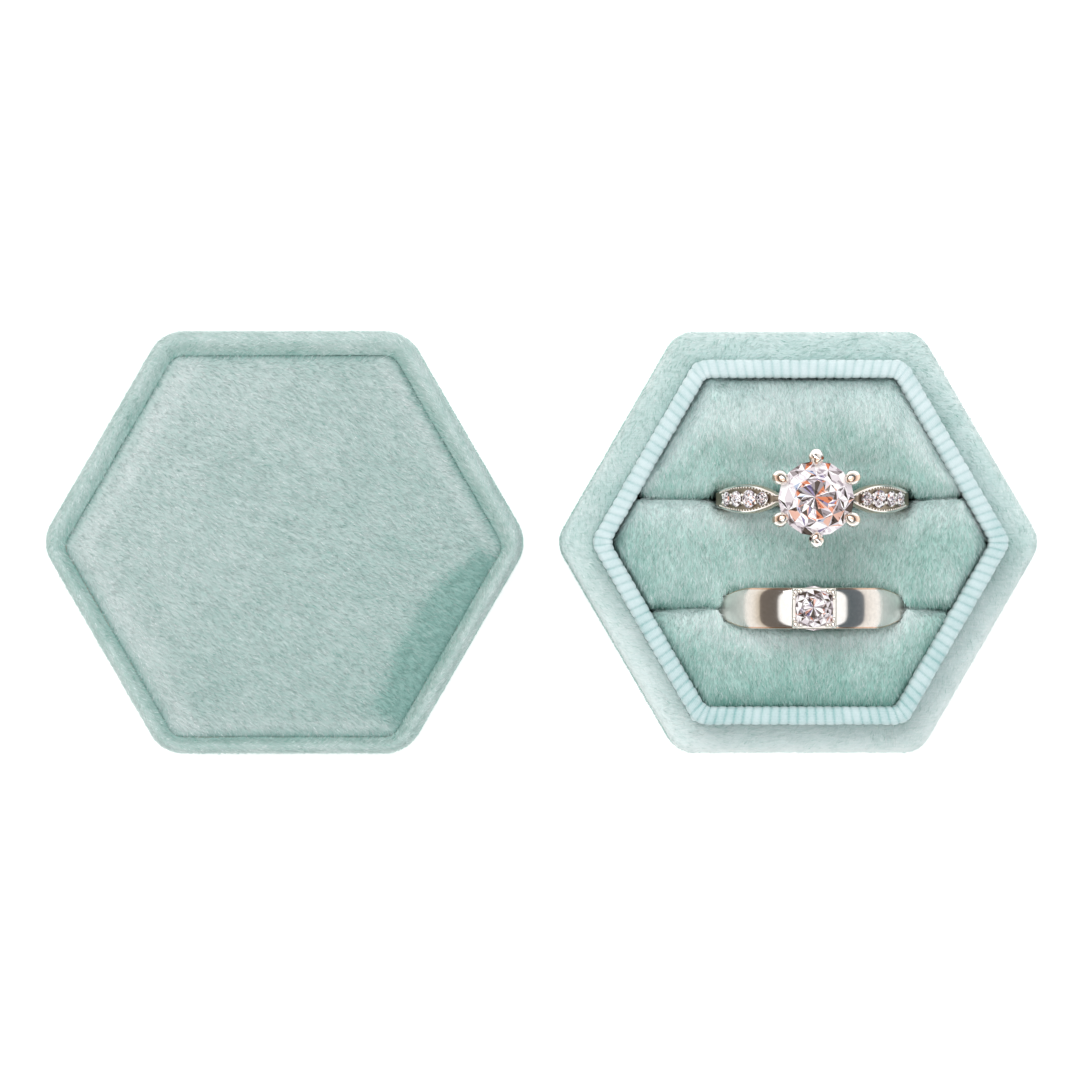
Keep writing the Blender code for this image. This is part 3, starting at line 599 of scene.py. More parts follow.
def hexagon_outward(x, y):
    """Outward direction of the nearest side of a hexagon with flats front and back."""
    sides = [(math.cos(math.radians(30 + 60 * k)), math.sin(math.radians(30 + 60 * k)), 0.0)
             for k in range(6)]
    return max(sides, key=lambda side: side[0] * x + side[1] * y)


def lid_cover_painted_light(point, normal):
    """The rim's painted light and shade: painted light on its crest and outer edge, painted shade
    into the crease and a little darker on the walls.
    """
    x, y = point[0] - LID_MID.x, point[1] - LID_MID.y
    if point[2] < LID_HIGH.z - 2 * MM:
        return 0.42 + 0.12 * ripple(point, 5 * MM, 2.0)
    depth = hexagon_depth(x, y, LID_HALF)
    crease = hexagon_depth(x, y - RIM_SHIFT, LID_HALF - RIM_WIDTH)
    tone = 0.57 + 0.16 * ripple(point, 2.6 * MM, 4.0) + 0.10 * math.exp(-depth / (0.5 * MM))
    return tone - 0.45 * math.exp(-max(0.0, -crease) / (0.55 * MM))


def lid_panel_painted_light(point, normal):
    """The panel's painted light and shade: lighter towards the back left, a painted shade along the
    front right side, painted highlights inside the front, left and back right edges and painted
    shade into the crease.
    """
    x, y = point[0] - LID_MID.x, point[1] - LID_MID.y - RIM_SHIFT
    apothem = LID_HALF - RIM_WIDTH
    depth = hexagon_depth(x, y, apothem)
    tone = 0.50 + 0.14 * (0.5 * y - 0.6 * x) / apothem
    tone += 0.06 * ripple(point, 6 * MM, 1.0) + 0.07 * ripple(point, 2 * MM, 9.0)
    # Painted shade: a darker strip along the front right side.
    right = apothem - (0.5 * math.sqrt(3) * x - 0.5 * y)
    along = 0.5 * x + 0.5 * math.sqrt(3) * y
    reach = (5.6 * MM - 0.12 * abs(along + 2 * MM)
             + 1.2 * MM * ripple((along, 0.0, 0.0), 5 * MM, 6.0))
    window = smoothstep((11.8 * MM - abs(along)) / (3.0 * MM))
    shaded_strip = smoothstep((reach - right) / (2.2 * MM)) * smoothstep(right / (0.4 * MM))
    tone -= 0.42 * window * shaded_strip
    tone += 0.14 * math.exp(-((y + apothem - 1.2 * MM) / (0.9 * MM)) ** 2)
    slant = apothem + 0.5 * math.sqrt(3) * x
    left = slant - 0.5 * abs(y)
    back = apothem - (0.5 * math.sqrt(3) * x + 0.5 * y)
    tone += 0.20 * math.exp(-((left - 1.8 * MM) / (1.3 * MM)) ** 2)
    tone += 0.16 * math.exp(-((back - 1.4 * MM) / (0.8 * MM)) ** 2)
    return tone - 0.50 * math.exp(-depth / (0.45 * MM))


def lid_panel():
    """The inset, slightly puffed top panel."""
    top = LID_HIGH.z
    edge = LID_HALF - RIM_WIDTH + 0.06 * MM
    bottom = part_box("lid_top_velvet")[0].z + 0.05 * MM
    rows = [(edge, top - 2.0 * MM), (edge, top - CREASE_DEPTH - 0.25 * MM)]
    for step in range(1, 30):
        inset = edge * (step / 30) ** 1.9
        rise = 1.0 - math.exp(-inset / (0.90 * MM))
        dome = PANEL_DOME * smoothstep(inset / (12 * MM))
        rows.append((edge - inset, top - CREASE_DEPTH - 0.05 * MM + PANEL_PUFF * rise + dome))
    vertices = []
    for apothem, z in [(edge, bottom)] + rows:
        radius = max(min(1.8 * MM - (edge - apothem), 0.9 * apothem), 0.04 * MM)
        for x, y, _, _, _ in hexagon(apothem, radius, STRAIGHT_STEPS, ARC_STEPS):
            vertices.append((LID_MID.x + x, LID_MID.y + y + RIM_SHIFT, z))
    faces = grid_faces(len(rows) + 1, HEXAGON_POINTS, False, True)
    faces.append(tuple(range(HEXAGON_POINTS)))
    faces.append(tuple(range(len(rows) * HEXAGON_POINTS, (len(rows) + 1) * HEXAGON_POINTS)))
    panel = orient(new_object("lid_panel", vertices, faces, [VELVET]))

    def hold(point):
        inside = hexagon_depth(point[0] - LID_MID.x, point[1] - LID_MID.y - RIM_SHIFT, edge)
        return smoothstep((inside - 0.3 * MM) / (2.0 * MM)) if point[2] > top - 1.5 * MM else 0.0

    swell(panel, 0.42 * MM, 0.30 * MM, hold)
    for vertex in panel.data.vertices:
        x, y, z = vertex.co
        inside = hexagon_depth(x - LID_MID.x, y - LID_MID.y - RIM_SHIFT, edge)
        if z > top - 1.5 * MM:
            share = smoothstep(inside / (3 * MM))
            vertex.co.z += share * 0.10 * MM * ripple((x, y, 0.0), 7 * MM, 3.0)
            vertex.co.z += smoothstep(inside / MM) * 0.05 * MM * ripple((x, y, 0.0), 1.6 * MM, 5.0)
            vertex.co.z = min(vertex.co.z, top + 0.2 * MM)
    set_painted_light(panel, lid_panel_painted_light)
    carry(panel, "lid", "velvet", "lid_top_velvet", "lid_top_foam")
    return panel


def lid_nap(cover, panel):
    """Velvet pile over the lid."""
    lean = (math.cos(NAP_TURN), -math.sin(NAP_TURN), 0.0)
    apothem = LID_HALF - RIM_WIDTH

    def over_panel(point, normal):
        sway = 0.3 * ripple(point, 9 * MM, 2.0)
        x, y = point.x - LID_MID.x, point.y - LID_MID.y - RIM_SHIFT
        edge = math.exp(-hexagon_depth(x, y, apothem) / (0.7 * MM))
        out = Vector(hexagon_outward(x, y))
        return Vector((lean[0], lean[1] + sway, 0.0)) * (1 - edge) + 1.4 * edge * out

    def over_cover(point, normal):
        out = Vector((point.x - LID_MID.x, point.y - LID_MID.y, 0.0))
        round_it = Vector((-out.y, out.x, 0.0)).normalized()
        if normal.z > 0.3:
            crease = hexagon_depth(out.x, out.y - RIM_SHIFT, apothem)
            over = math.exp(-max(0.0, -crease) / (0.4 * MM))
            return (round_it * (1 - 0.6 * over) - out.normalized() * over
                    + 0.5 * Vector((ripple(point, 4 * MM, 8.0), ripple(point, 4 * MM), 0)))
        return Vector((0.0, 0.0, -1.0)) + 0.4 * round_it * ripple(point, 6 * MM, 1.0)

    def top_only(points, normals):
        return (normals[:, 2] > 0.15) & (points[:, 2] > LID_HIGH.z - 1.7 * MM)

    top = nap_blades("lid_panel_nap", panel, LID_FIBRES, 52000, 0.60 * MM, 0.056 * MM, over_panel,
                     (0.12, 0.5), top_only, lid_panel_painted_light, 11)
    side = nap_blades("lid_cover_nap", cover, FIBRES, 56000, 0.58 * MM, 0.062 * MM, over_cover,
                      (0.12, 0.5), lambda p, n: cover_weight(p, n, LID_MID), lid_cover_painted_light, 12)
    for thing in (top, side):
        carry(thing, "lid", "velvet")


def cover_weight(points, normals, middle):
    """More fibres on top than on the walls, none inside or underneath."""
    radial = ((points[:, 0] - middle.x) * normals[:, 0]
              + (points[:, 1] - middle.y) * normals[:, 1])
    weight = np.where(normals[:, 2] > 0.25, 3.2, 1.0)
    inner = (normals[:, 2] < -0.3) | ((normals[:, 2] < 0.2) & (radial < 0))
    return np.where(inner, 0.0, weight)


# ---------------------------------------------------------------- base

BASE_MID, BASE_LOW, BASE_HIGH = centre_of("base_velvet_wrap")
BASE_HALF = (BASE_HIGH.y - BASE_LOW.y) / 2
BASE_CORNERS = (3.0 * MM, 1.75 * MM)
SHOULDER_WIDTH = 3.18 * MM
SHOULDER_ROUND = 0.8 * MM
TUCK_ROUND = 0.30 * MM
TUCK_DEPTH = 8.5 * MM
BASE_HEM = 1.9 * MM


def base_cover():
    """The base's velvet: wall, flat shoulder and the edge tucked in behind the collar."""
    top = BASE_HIGH.z
    low = BASE_LOW.z
    profile = foot_and_wall(low, top - 1.0 * MM)
    for step in range(0, 8):
        turn = math.radians(90.0 * step / 7)
        profile.append((SHOULDER_ROUND * (1 - math.cos(turn)),
                        top - SHOULDER_ROUND * (1 - math.sin(turn)), 0.0))
    for inset in (1.2, 1.6, 2.0, 2.3):
        profile.append((inset * MM, top + 0.03 * MM, 0.0))
    for step in range(1, 6):
        turn = math.radians(90.0 * step / 5)
        profile.append((SHOULDER_WIDTH - TUCK_ROUND * (1 - math.sin(turn)),
                        top - TUCK_ROUND * (1 - math.cos(turn)), 0.0))
    profile += [(SHOULDER_WIDTH, top - 0.7 * MM, 0.0), (2.75 * MM, top - 1.2 * MM, 0.0),
                (2.75 * MM, top - TUCK_DEPTH, 0.0), (2.45 * MM, top - TUCK_DEPTH, 0.0),
                (2.4 * MM, top - 0.82 * MM, 0.0), (VELVET_THICK, top - 0.82 * MM, 0.0),
                (VELVET_THICK, low + VELVET_THICK, 0.0), (BASE_HEM, low + VELVET_THICK, 0.0),
                (BASE_HEM, low, 0.0)]
    cover = hexagon_tube("base_cover", profile, BASE_HALF, BASE_CORNERS, BASE_MID, 0.0,
                         SHOULDER_VELVET, 0.07 * MM)
    set_painted_light(cover, base_painted_light)
    return carry(cover, "base", "velvet", "base_velvet_wrap")


def base_painted_light(point, normal):
    """The base's painted light and shade: pale on the shoulder with a painted sheen on its outer
    edge, painted light towards the front where the collar casts its shadow, painted shade beside
    the collar and a little darker on the walls.
    """
    if point[2] < BASE_HIGH.z - 1.2 * MM:
        return 0.42 + 0.12 * ripple(point, 5 * MM, 5.0)
    depth = hexagon_depth(point[0], point[1], BASE_HALF)
    tone = 0.58 + 0.16 * ripple(point, 2.4 * MM, 3.0) + 0.25 * math.exp(-depth / (0.4 * MM))
    tone += 0.30 * smoothstep(-point[1] / (10 * MM))
    return tone - 0.26 * math.exp(-(SHOULDER_WIDTH - depth) / (0.45 * MM))


def base_nap(cover):
    """Velvet pile over the base's wall and shoulder."""

    def lean(point, normal):
        out = Vector((point.x, point.y, 0.0))
        round_it = Vector((-out.y, out.x, 0.0)).normalized()
        if normal.z > 0.3:
            return (0.7 * round_it - 0.35 * out.normalized()
                    + 0.8 * Vector((ripple(point, 4 * MM, 6.0), ripple(point, 4 * MM), 0)))
        return Vector((0.0, 0.0, -1.0)) + 0.4 * round_it * ripple(point, 6 * MM, 4.0)

    pile = nap_blades("base_cover_nap", cover, FIBRES, 44000, 0.6 * MM, 0.075 * MM, lean,
                      (0.12, 0.5), lambda p, n: cover_weight(p, n, BASE_MID), base_painted_light, 13)
    carry(pile, "base", "velvet")


# ---------------------------------------------------------------- ribbon collar

COLLAR_MID, COLLAR_LOW, COLLAR_HIGH = centre_of("collar_ribbon")
COLLAR_HALF = (COLLAR_HIGH.y - COLLAR_LOW.y) / 2
COLLAR_WALL = 2.1 * MM
OUTLINE_STEPS = 200
RIB_PITCH = 0.95 * MM
RIB_HEIGHT = 0.14 * MM
RIB_SAMPLES = 10
RIBBON_SINK = 0.12 * MM
RIBBON_CROWN = 0.12 * MM
# The ribbon's rounded edge: its share of the wall's thickness and how far it drops
FOLD_SHARE = 0.22
FOLD_DROP = 0.5 * MM


def resample(points, count):
    """Evenly spaced positions round a closed outline, as fractions of its point numbers."""
    steps = [0.0]
    closed = points + [points[0]]
    for first, second in zip(closed, closed[1:]):
        steps.append(steps[-1] + math.hypot(second[0] - first[0], second[1] - first[1]))
    places = np.linspace(0.0, steps[-1], count, endpoint=False)
    return np.interp(places, steps, np.arange(len(closed)))


def collar_ribbon():
    """Grosgrain folded over the collar, its ribs running across and fanning at the corners."""
    outer_full = hexagon(COLLAR_HALF, 2.0 * MM, OUTLINE_STEPS, OUTLINE_STEPS)
    inner_full = hexagon(COLLAR_HALF - COLLAR_WALL, 0.9 * MM, OUTLINE_STEPS, OUTLINE_STEPS)
    length = 6 * (2 * (COLLAR_HALF - 1.0 * MM) / math.sqrt(3))
    ribs = int(round(length / RIB_PITCH))
    count = ribs * RIB_SAMPLES
    places = resample(outer_full, count)

    def at(outline, place):
        low = int(place) % len(outline)
        high = (low + 1) % len(outline)
        t = place - int(place)
        return [outline[low][k] * (1 - t) + outline[high][k] * t for k in range(5)]

    section = []
    depth = COLLAR_HIGH.z - COLLAR_LOW.z
    for step in range(0, 9):
        section.append((0.0, COLLAR_LOW.z + (depth - 0.55 * MM) * step / 8, -1.0, 0.0))
    for step in range(1, 6):
        turn = math.radians(90.0 * step / 6)
        section.append((FOLD_SHARE * (1 - math.cos(turn)),
                        COLLAR_HIGH.z - FOLD_DROP * (1 - math.sin(turn)),
                        -math.cos(turn), math.sin(turn)))
    for share in (0.24, 0.38, 0.5, 0.62, 0.76):
        section.append((share, COLLAR_HIGH.z, 0.0, 1.0))
    for step in range(1, 6):
        turn = math.radians(90.0 * step / 6)
        section.append((1 - FOLD_SHARE * (1 - math.sin(turn)),
                        COLLAR_HIGH.z - FOLD_DROP * (1 - math.cos(turn)),
                        math.sin(turn), math.cos(turn)))
    for step in range(0, 6):
        section.append((1.0, COLLAR_HIGH.z - 0.55 * MM - (depth - 0.6 * MM) * step / 5, 1.0, 0.0))
    section += [(0.72, COLLAR_LOW.z, 0.0, 0.0), (0.72, COLLAR_HIGH.z - 0.7 * MM, 0.0, 0.0),
                (0.28, COLLAR_HIGH.z - 0.7 * MM, 0.0, 0.0), (0.28, COLLAR_LOW.z, 0.0, 0.0)]
    vertices, tones, spans = [], [], []
    section_run = [0.0]
    for first, second in zip(section, section[1:]):
        section_run.append(section_run[-1] + math.hypot((second[0] - first[0]) * COLLAR_WALL,
                                                        second[1] - first[1]))
    for row, (share, z, inward, up) in enumerate(section):
        for k, place in enumerate(places):
            ox, oy, nx, ny, corner = at(outer_full, place)
            ix, iy, _, _, _ = at(inner_full, place)
            x, y = ox + (ix - ox) * share, oy + (iy - oy) * share
            phase = (k % RIB_SAMPLES + 0.5) / RIB_SAMPLES
            ridge = (1 - abs(2 * phase - 1) ** 3.2) ** 0.6
            height = RIB_HEIGHT * (ridge - 0.85)
            height += 0.06 * MM * ripple((x, y, z), 1.3 * MM, 2.0)
            gather = corner * ripple((x, y, z * 0.3), 1.1 * MM, 9.0)
            height += 0.24 * MM * gather
            # Painted light and shade: grooves darker than the rib tops, corner bulges lighter and
            # lighter towards the back, over random tone.
            tones.append(ridge * 0.50 + 0.20 * ripple((x, y, z), 2.0 * MM, 1.0) + 0.2 * gather
                         + 0.06 + 0.12 * y / COLLAR_HALF)
            spans.append(section_run[row])
            crown = RIBBON_CROWN * math.sin(math.pi * share) if up > 0.9 else 0.0
            height -= RIBBON_SINK
            vertices.append((COLLAR_MID.x + x - nx * inward * height,
                             COLLAR_MID.y + y - ny * inward * height,
                             z + up * height + crown))
    faces = grid_faces(len(section), count, True, True)
    ribbon = orient(new_object("ribbon", vertices, faces, [RIBBON]))
    store_numbers(ribbon, "nap", tones)
    store_numbers(ribbon, "across", spans)
    return carry(ribbon, "base", "ribbon", "collar_ribbon")


# ---------------------------------------------------------------- cushion

CUSHION_BOXES = [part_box(f"cushion_velvet_{k}") for k in (1, 2, 3)]
CUSHION_LOW = CUSHION_BOXES[0][0].z
CROWN = max(high.z for _, high in CUSHION_BOXES)
CUSHION_HALF = CUSHION_BOXES[0][1].y + 0.46 * MM
SLOTS = ((CUSHION_BOXES[0][0].y + CUSHION_BOXES[1][1].y) / 2,
         (CUSHION_BOXES[1][0].y + CUSHION_BOXES[2][1].y) / 2)
SOLITAIRE_MID, SOLITAIRE_LOW, SOLITAIRE_HIGH = centre_of("solitaire_shank")
BAND_MID, BAND_LOW, BAND_HIGH = centre_of("band_shank")
RING_HALF = (SOLITAIRE_HIGH.x - SOLITAIRE_LOW.x) / 2
RING_CENTRES = (SOLITAIRE_LOW.z + RING_HALF, BAND_LOW.z + RING_HALF)
SLOT_MIDDLES = (SOLITAIRE_MID.x, BAND_MID.x)
LIP_DEPTH = 1.6 * MM
SLOT_LIP = (1.55 * MM, LIP_DEPTH)
WALL_LIP = (0.28 * MM, 0.22 * MM)
SNUG_LIP = (0.50 * MM, 0.22 * MM)
SHUT = 0.05 * MM
# The band's half width at its sides, and the angles from its top between which it narrows
BAND_NARROW = 1.4 * MM
TAPER_START = 42.0
TAPER_SPAN = 28.0
# Play over the ring, how fast the slot closes above it and how wide it stays, for each slot
SLOT_CLOSING = ((0.15 * MM, 0.22 * MM, 0.42 * MM), (0.04 * MM, 0.14 * MM, 0.14 * MM))


def ring_half_width(which, degrees):
    """Half width of the solitaire's or the band's shank at an angle from its top."""
    return leaf_half(degrees) if which == 0 else band_half(degrees)


def band_half(degrees):
    """Half width of the band at an angle from its top: it narrows down its sides."""
    wide = (BAND_HIGH.y - BAND_LOW.y) / 2
    share = min(1.0, max(0.0, (abs(degrees) - TAPER_START) / TAPER_SPAN))
    return BAND_NARROW + (wide - BAND_NARROW) * 0.5 * (1 + math.cos(math.pi * share))


def slot_side(x, z, which):
    """How far a slot's side stands off its middle line: shut, or opened by its ring."""
    dx, dz = abs(x - SLOT_MIDDLES[which]), z - RING_CENTRES[which]
    radius = math.hypot(dx, dz)
    opened = ring_half_width(which, max(38.0, math.degrees(math.atan2(dx, dz)))) + 0.10 * MM
    play, fall, gape = SLOT_CLOSING[which]
    away = radius - RING_HALF - play
    if away <= 0:
        return opened
    gape = min(opened, gape)
    edge = (opened - gape) * math.exp(-(away / fall) ** 2)
    return SHUT + edge + (gape - SHUT) * math.exp(-(away / (1.5 * MM)) ** 1.4)


def roll_edges(x, z, index):
    """Front and back limits of a roll at x and height z."""
    edge = min(CUSHION_HALF, 2 * CUSHION_HALF - math.sqrt(3) * abs(x))
    low, high = -edge, edge
    if index == 0:
        low = max(low, SLOTS[0] + slot_side(x, z, 0))
    elif index == 1:
        high = min(high, SLOTS[0] - slot_side(x, z, 0))
        low = max(low, SLOTS[1] + slot_side(x, z, 1))
    else:
        high = min(high, SLOTS[1] - slot_side(x, z, 1))
    return low, high


def lip_shape(x, index, high):
    """Width and depth of the rounding on a roll's front or back.

    It is small against the collar, wide beside a slot and shallow where the cushion closes
    over the sides of the band.
    """
    edge = min(CUSHION_HALF, 2 * CUSHION_HALF - math.sqrt(3) * abs(x))
    which = index - 1 if high else index
    if which not in (0, 1):
        return WALL_LIP
    share = smoothstep((edge - SLOTS[which] if high else edge + SLOTS[which]) / (1.2 * MM))
    away = abs(abs(x - SLOT_MIDDLES[which]) - 10.1 * MM) / (1.5 * MM)
    snug = math.exp(-away ** 2) if which == 1 else 0.0
    lip = [wide + (close - wide) * snug for wide, close in zip(SLOT_LIP, SNUG_LIP)]
    return [wall + (slot - wall) * share for wall, slot in zip(WALL_LIP, lip)]


def roll_length(index):
    """Largest x at which a roll still has some width."""
    near, far = 0.0, 2 * CUSHION_HALF
    for _ in range(40):
        x = (near + far) / 2
        low, high = roll_edges(x, 0.0, index)
        near, far = (x, far) if high - low > 0.9 * MM else (near, x)
    return near


ROLL_STATIONS = 120
ROLL_CROWN = 0.30 * MM
ROLL_SAG = 0.8 * MM
ROLL_TIP = 1.2 * MM


def roll_mesh(index):
    """One velvet roll, crowned and rounded down into its slots and against the collar."""
    end = roll_length(index)
    floor = CUSHION_LOW + 0.2 * MM
    brow = CROWN - 0.35 * MM
    lip = brow - LIP_DEPTH
    sections = []
    for k in range(ROLL_STATIONS):
        u = -math.cos(math.pi * k / (ROLL_STATIONS - 1))
        x = end * (0.35 * u + 0.65 * (2 * k / (ROLL_STATIONS - 1) - 1))
        tip = smoothstep((end - abs(x)) / ROLL_TIP)
        walls = []
        for side in (0, 1):
            start = brow - lip_shape(x, index, side == 1)[1]
            levels = [floor + (start - floor) * k / 18 for k in range(19)]
            walls.append([(roll_edges(x, z, index)[side], z) for z in levels])
        front, back = walls
        low, high = front[-1][0], back[-1][0]
        width = high - low
        (reach, drop), (far_reach, far_drop) = (lip_shape(x, index, side) for side in (False, True))
        reach, far_reach = min(reach, 0.42 * width), min(far_reach, 0.42 * width)
        over = []
        for step in range(1, 9):
            angle = math.radians(90.0 * step / 8)
            over.append((low + reach * (1 - math.cos(angle)), brow - drop * (1 - math.sin(angle))))
        for step in range(1, 12):
            share = step / 12
            over.append((low + reach + (width - reach - far_reach) * share,
                         brow + ROLL_CROWN * math.sin(math.pi * share)))
        for step in range(8, 0, -1):
            angle = math.radians(90.0 * step / 8)
            over.append((high - far_reach * (1 - math.cos(angle)),
                         brow - far_drop * (1 - math.sin(angle))))
        sag = (1 - tip) * ROLL_SAG
        over = [(y, z - sag * max(0.0, z - lip) / LIP_DEPTH) for y, z in over]
        sections.append([(x, y, z) for y, z in front + over + list(reversed(back))])
    across = len(sections[0])
    vertices = [p for section in sections for p in section]
    faces = grid_faces(ROLL_STATIONS, across, False, False)
    for k in range(ROLL_STATIONS - 1):
        here = k * across
        faces.append((here, here + across, here + 2 * across - 1, here + across - 1))
    faces.append(tuple(range(across)))
    faces.append(tuple(range((ROLL_STATIONS - 1) * across, ROLL_STATIONS * across)))
    roll = orient(new_object(f"cushion_roll_{index + 1}", vertices, faces, [CUSHION_VELVET]))

    def hold(point):
        if point[2] < lip - 1.0 * MM:
            return 0.15
        free = 1.0
        for which in (0, 1):
            dx, dz = point[0] - SLOT_MIDDLES[which], point[2] - RING_CENTRES[which]
            beside = math.hypot(dx, dz) - RING_HALF - 0.8 * MM
            near = abs(point[1] - SLOTS[which]) - ring_half_width(which, 45.0) - 0.6 * MM
            free = min(free, max(smoothstep(beside / MM), smoothstep(near / MM)))
        return free

    swell(roll, 0.40 * MM, 0.40 * MM, hold)
    for vertex in roll.data.vertices:
        x, y, z = vertex.co
        if z > lip:
            z += 0.14 * MM * ripple((x, y, 0.0), 6 * MM, 4.0 + index)
            z += 0.06 * MM * ripple((x, y, 0.0), 1.8 * MM, 7.0)
        low, high = roll_edges(x, min(z, brow), index)
        if high - low > 0.4 * MM:
            y = min(high, max(low, y))
        vertex.co = (x, y, z)
    set_painted_light(roll, lambda point, normal: roll_painted_light(point, normal, index))
    carry(roll, "base", "cushion_velvet", f"cushion_velvet_{index + 1}",
          f"cushion_foam_{index + 1}")
    return roll


# Share of each roll's width from the back that takes painted light.
ROLL_LIT_SHARE = (0.45, 0.20, 0.24)


def roll_painted_light(point, normal, index):
    """A roll's painted light and shade: painted light where it turns up towards the back, painted
    shade towards the front and down into the slots.
    """
    low, high = roll_edges(point[0], CROWN, index)
    share = (high - point[1]) / max(high - low, 0.5 * MM)
    lit_fringe = ROLL_LIT_SHARE[index] * (1 + 0.25 * ripple((point[0], 0.0, 0.0), 4 * MM, 8.0 + index)
                                 + 0.25 * ripple((point[0], 0.0, 0.0), 0.6 * MM, 3.0))
    tone = 0.49 + 0.38 * smoothstep((lit_fringe + 0.22 - share) / 0.40)
    tone += 0.12 * ripple((point[0], point[1] * 0.4, 0.0), 1.8 * MM, 2.0)
    tone += 0.08 * ripple((point[0], point[1], 0.0), 6 * MM, 1.0)
    tone -= 0.30 * smoothstep((share - 0.88) / 0.12)
    tone -= 0.22 * smoothstep((share - 0.35) / 0.65) if index == 2 else 0.0
    return tone - 0.5 * smoothstep((CROWN - 1.6 * MM - point[2]) / (1.6 * MM))


def cushion():
    """The three rolls and their pile."""

    def lean(point, normal):
        return (0.35 * ripple(point, 5 * MM, 3.0), -1.0, 0.0)

    def seen(points, normals):
        return (points[:, 2] > CROWN - 3.4 * MM) & (normals[:, 2] > -0.1)

    for index, count in ((0, 24000), (1, 26000), (2, 20000)):
        roll = roll_mesh(index)
        pile = nap_blades(f"cushion_nap_{index + 1}", roll, FIBRES, count, 0.70 * MM,
                          0.075 * MM, lean, (0.15, 0.6), seen,
                          lambda point, normal: roll_painted_light(point, normal, index), 20 + index)
        carry(pile, "base", "cushion_velvet")


# ---------------------------------------------------------------- rings


RING_STEPS = 240
FINGER_RADIUS = 8.65 * MM


def ring_sweep(name, centre, section_at, materials, shade_of):
    """A finger ring standing on edge; section_at gives (radius, y) points at an angle.

    shade_of gives the material of a face from its place in the section.
    """
    vertices = []
    across = len(section_at(0.0))
    for step in range(RING_STEPS):
        degrees = 360.0 * step / RING_STEPS
        signed = degrees if degrees <= 180 else degrees - 360
        turn = math.radians(degrees)
        for radius, y in section_at(signed):
            vertices.append((centre.x + radius * math.sin(turn), centre.y + y,
                             centre.z + radius * math.cos(turn)))
    faces, shades = [], []
    for step in range(RING_STEPS):
        here, there = step * across, ((step + 1) % RING_STEPS) * across
        for k in range(across):
            after = (k + 1) % across
            faces.append((here + k, here + after, there + after, there + k))
            shades.append(shade_of(k))
    return orient(new_object(name, vertices, faces, materials, shades, sharp=35))


# Weights of the eight facet tones, painted reflections of the stone: middle, inner table, outer
# table and crown
CENTRE_REFLECTION_WEIGHTS = ((2.6, 2, 4, 4.4, 3.4, 3.4, 2, 0.2), (3, 2.5, 3.4, 3.8, 2.4, 3, 1.4, 0.3),
                (4, 4, 3.4, 3, 1.0, 2.2, 1.0, 0.4), (7, 6, 3.4, 2.6, 0.5, 1.2, 0.8, 0.4))
BAND_REFLECTION_WEIGHTS = ((3, 3, 4, 4, 0.4, 1.2, 0.3, 0.1), (4, 3, 4, 3.6, 0.3, 1.4, 0.2, 0.2),
              (4, 4, 4, 3.0, 0.2, 1.0, 0.2, 0.2), (5, 4, 3.6, 3.0, 0.2, 1.0, 0.2, 0.2))
SMALL_REFLECTION_WEIGHTS = ((8, 4, 3, 4, 0.4, 1.2, 0.1, 0.3),) * 4
# Where the rows of points on a fine stone's table lie, and how far they wander
TABLE_ROWS = ((0.90, 0.03), (0.64, 0.20))
# A brilliant's heights as shares of its diameter, and its table's width
CUT_CROWN = 0.155
CUT_GIRDLE = 0.035
CUT_PAVILION = 0.41
CUT_TABLE = 0.60


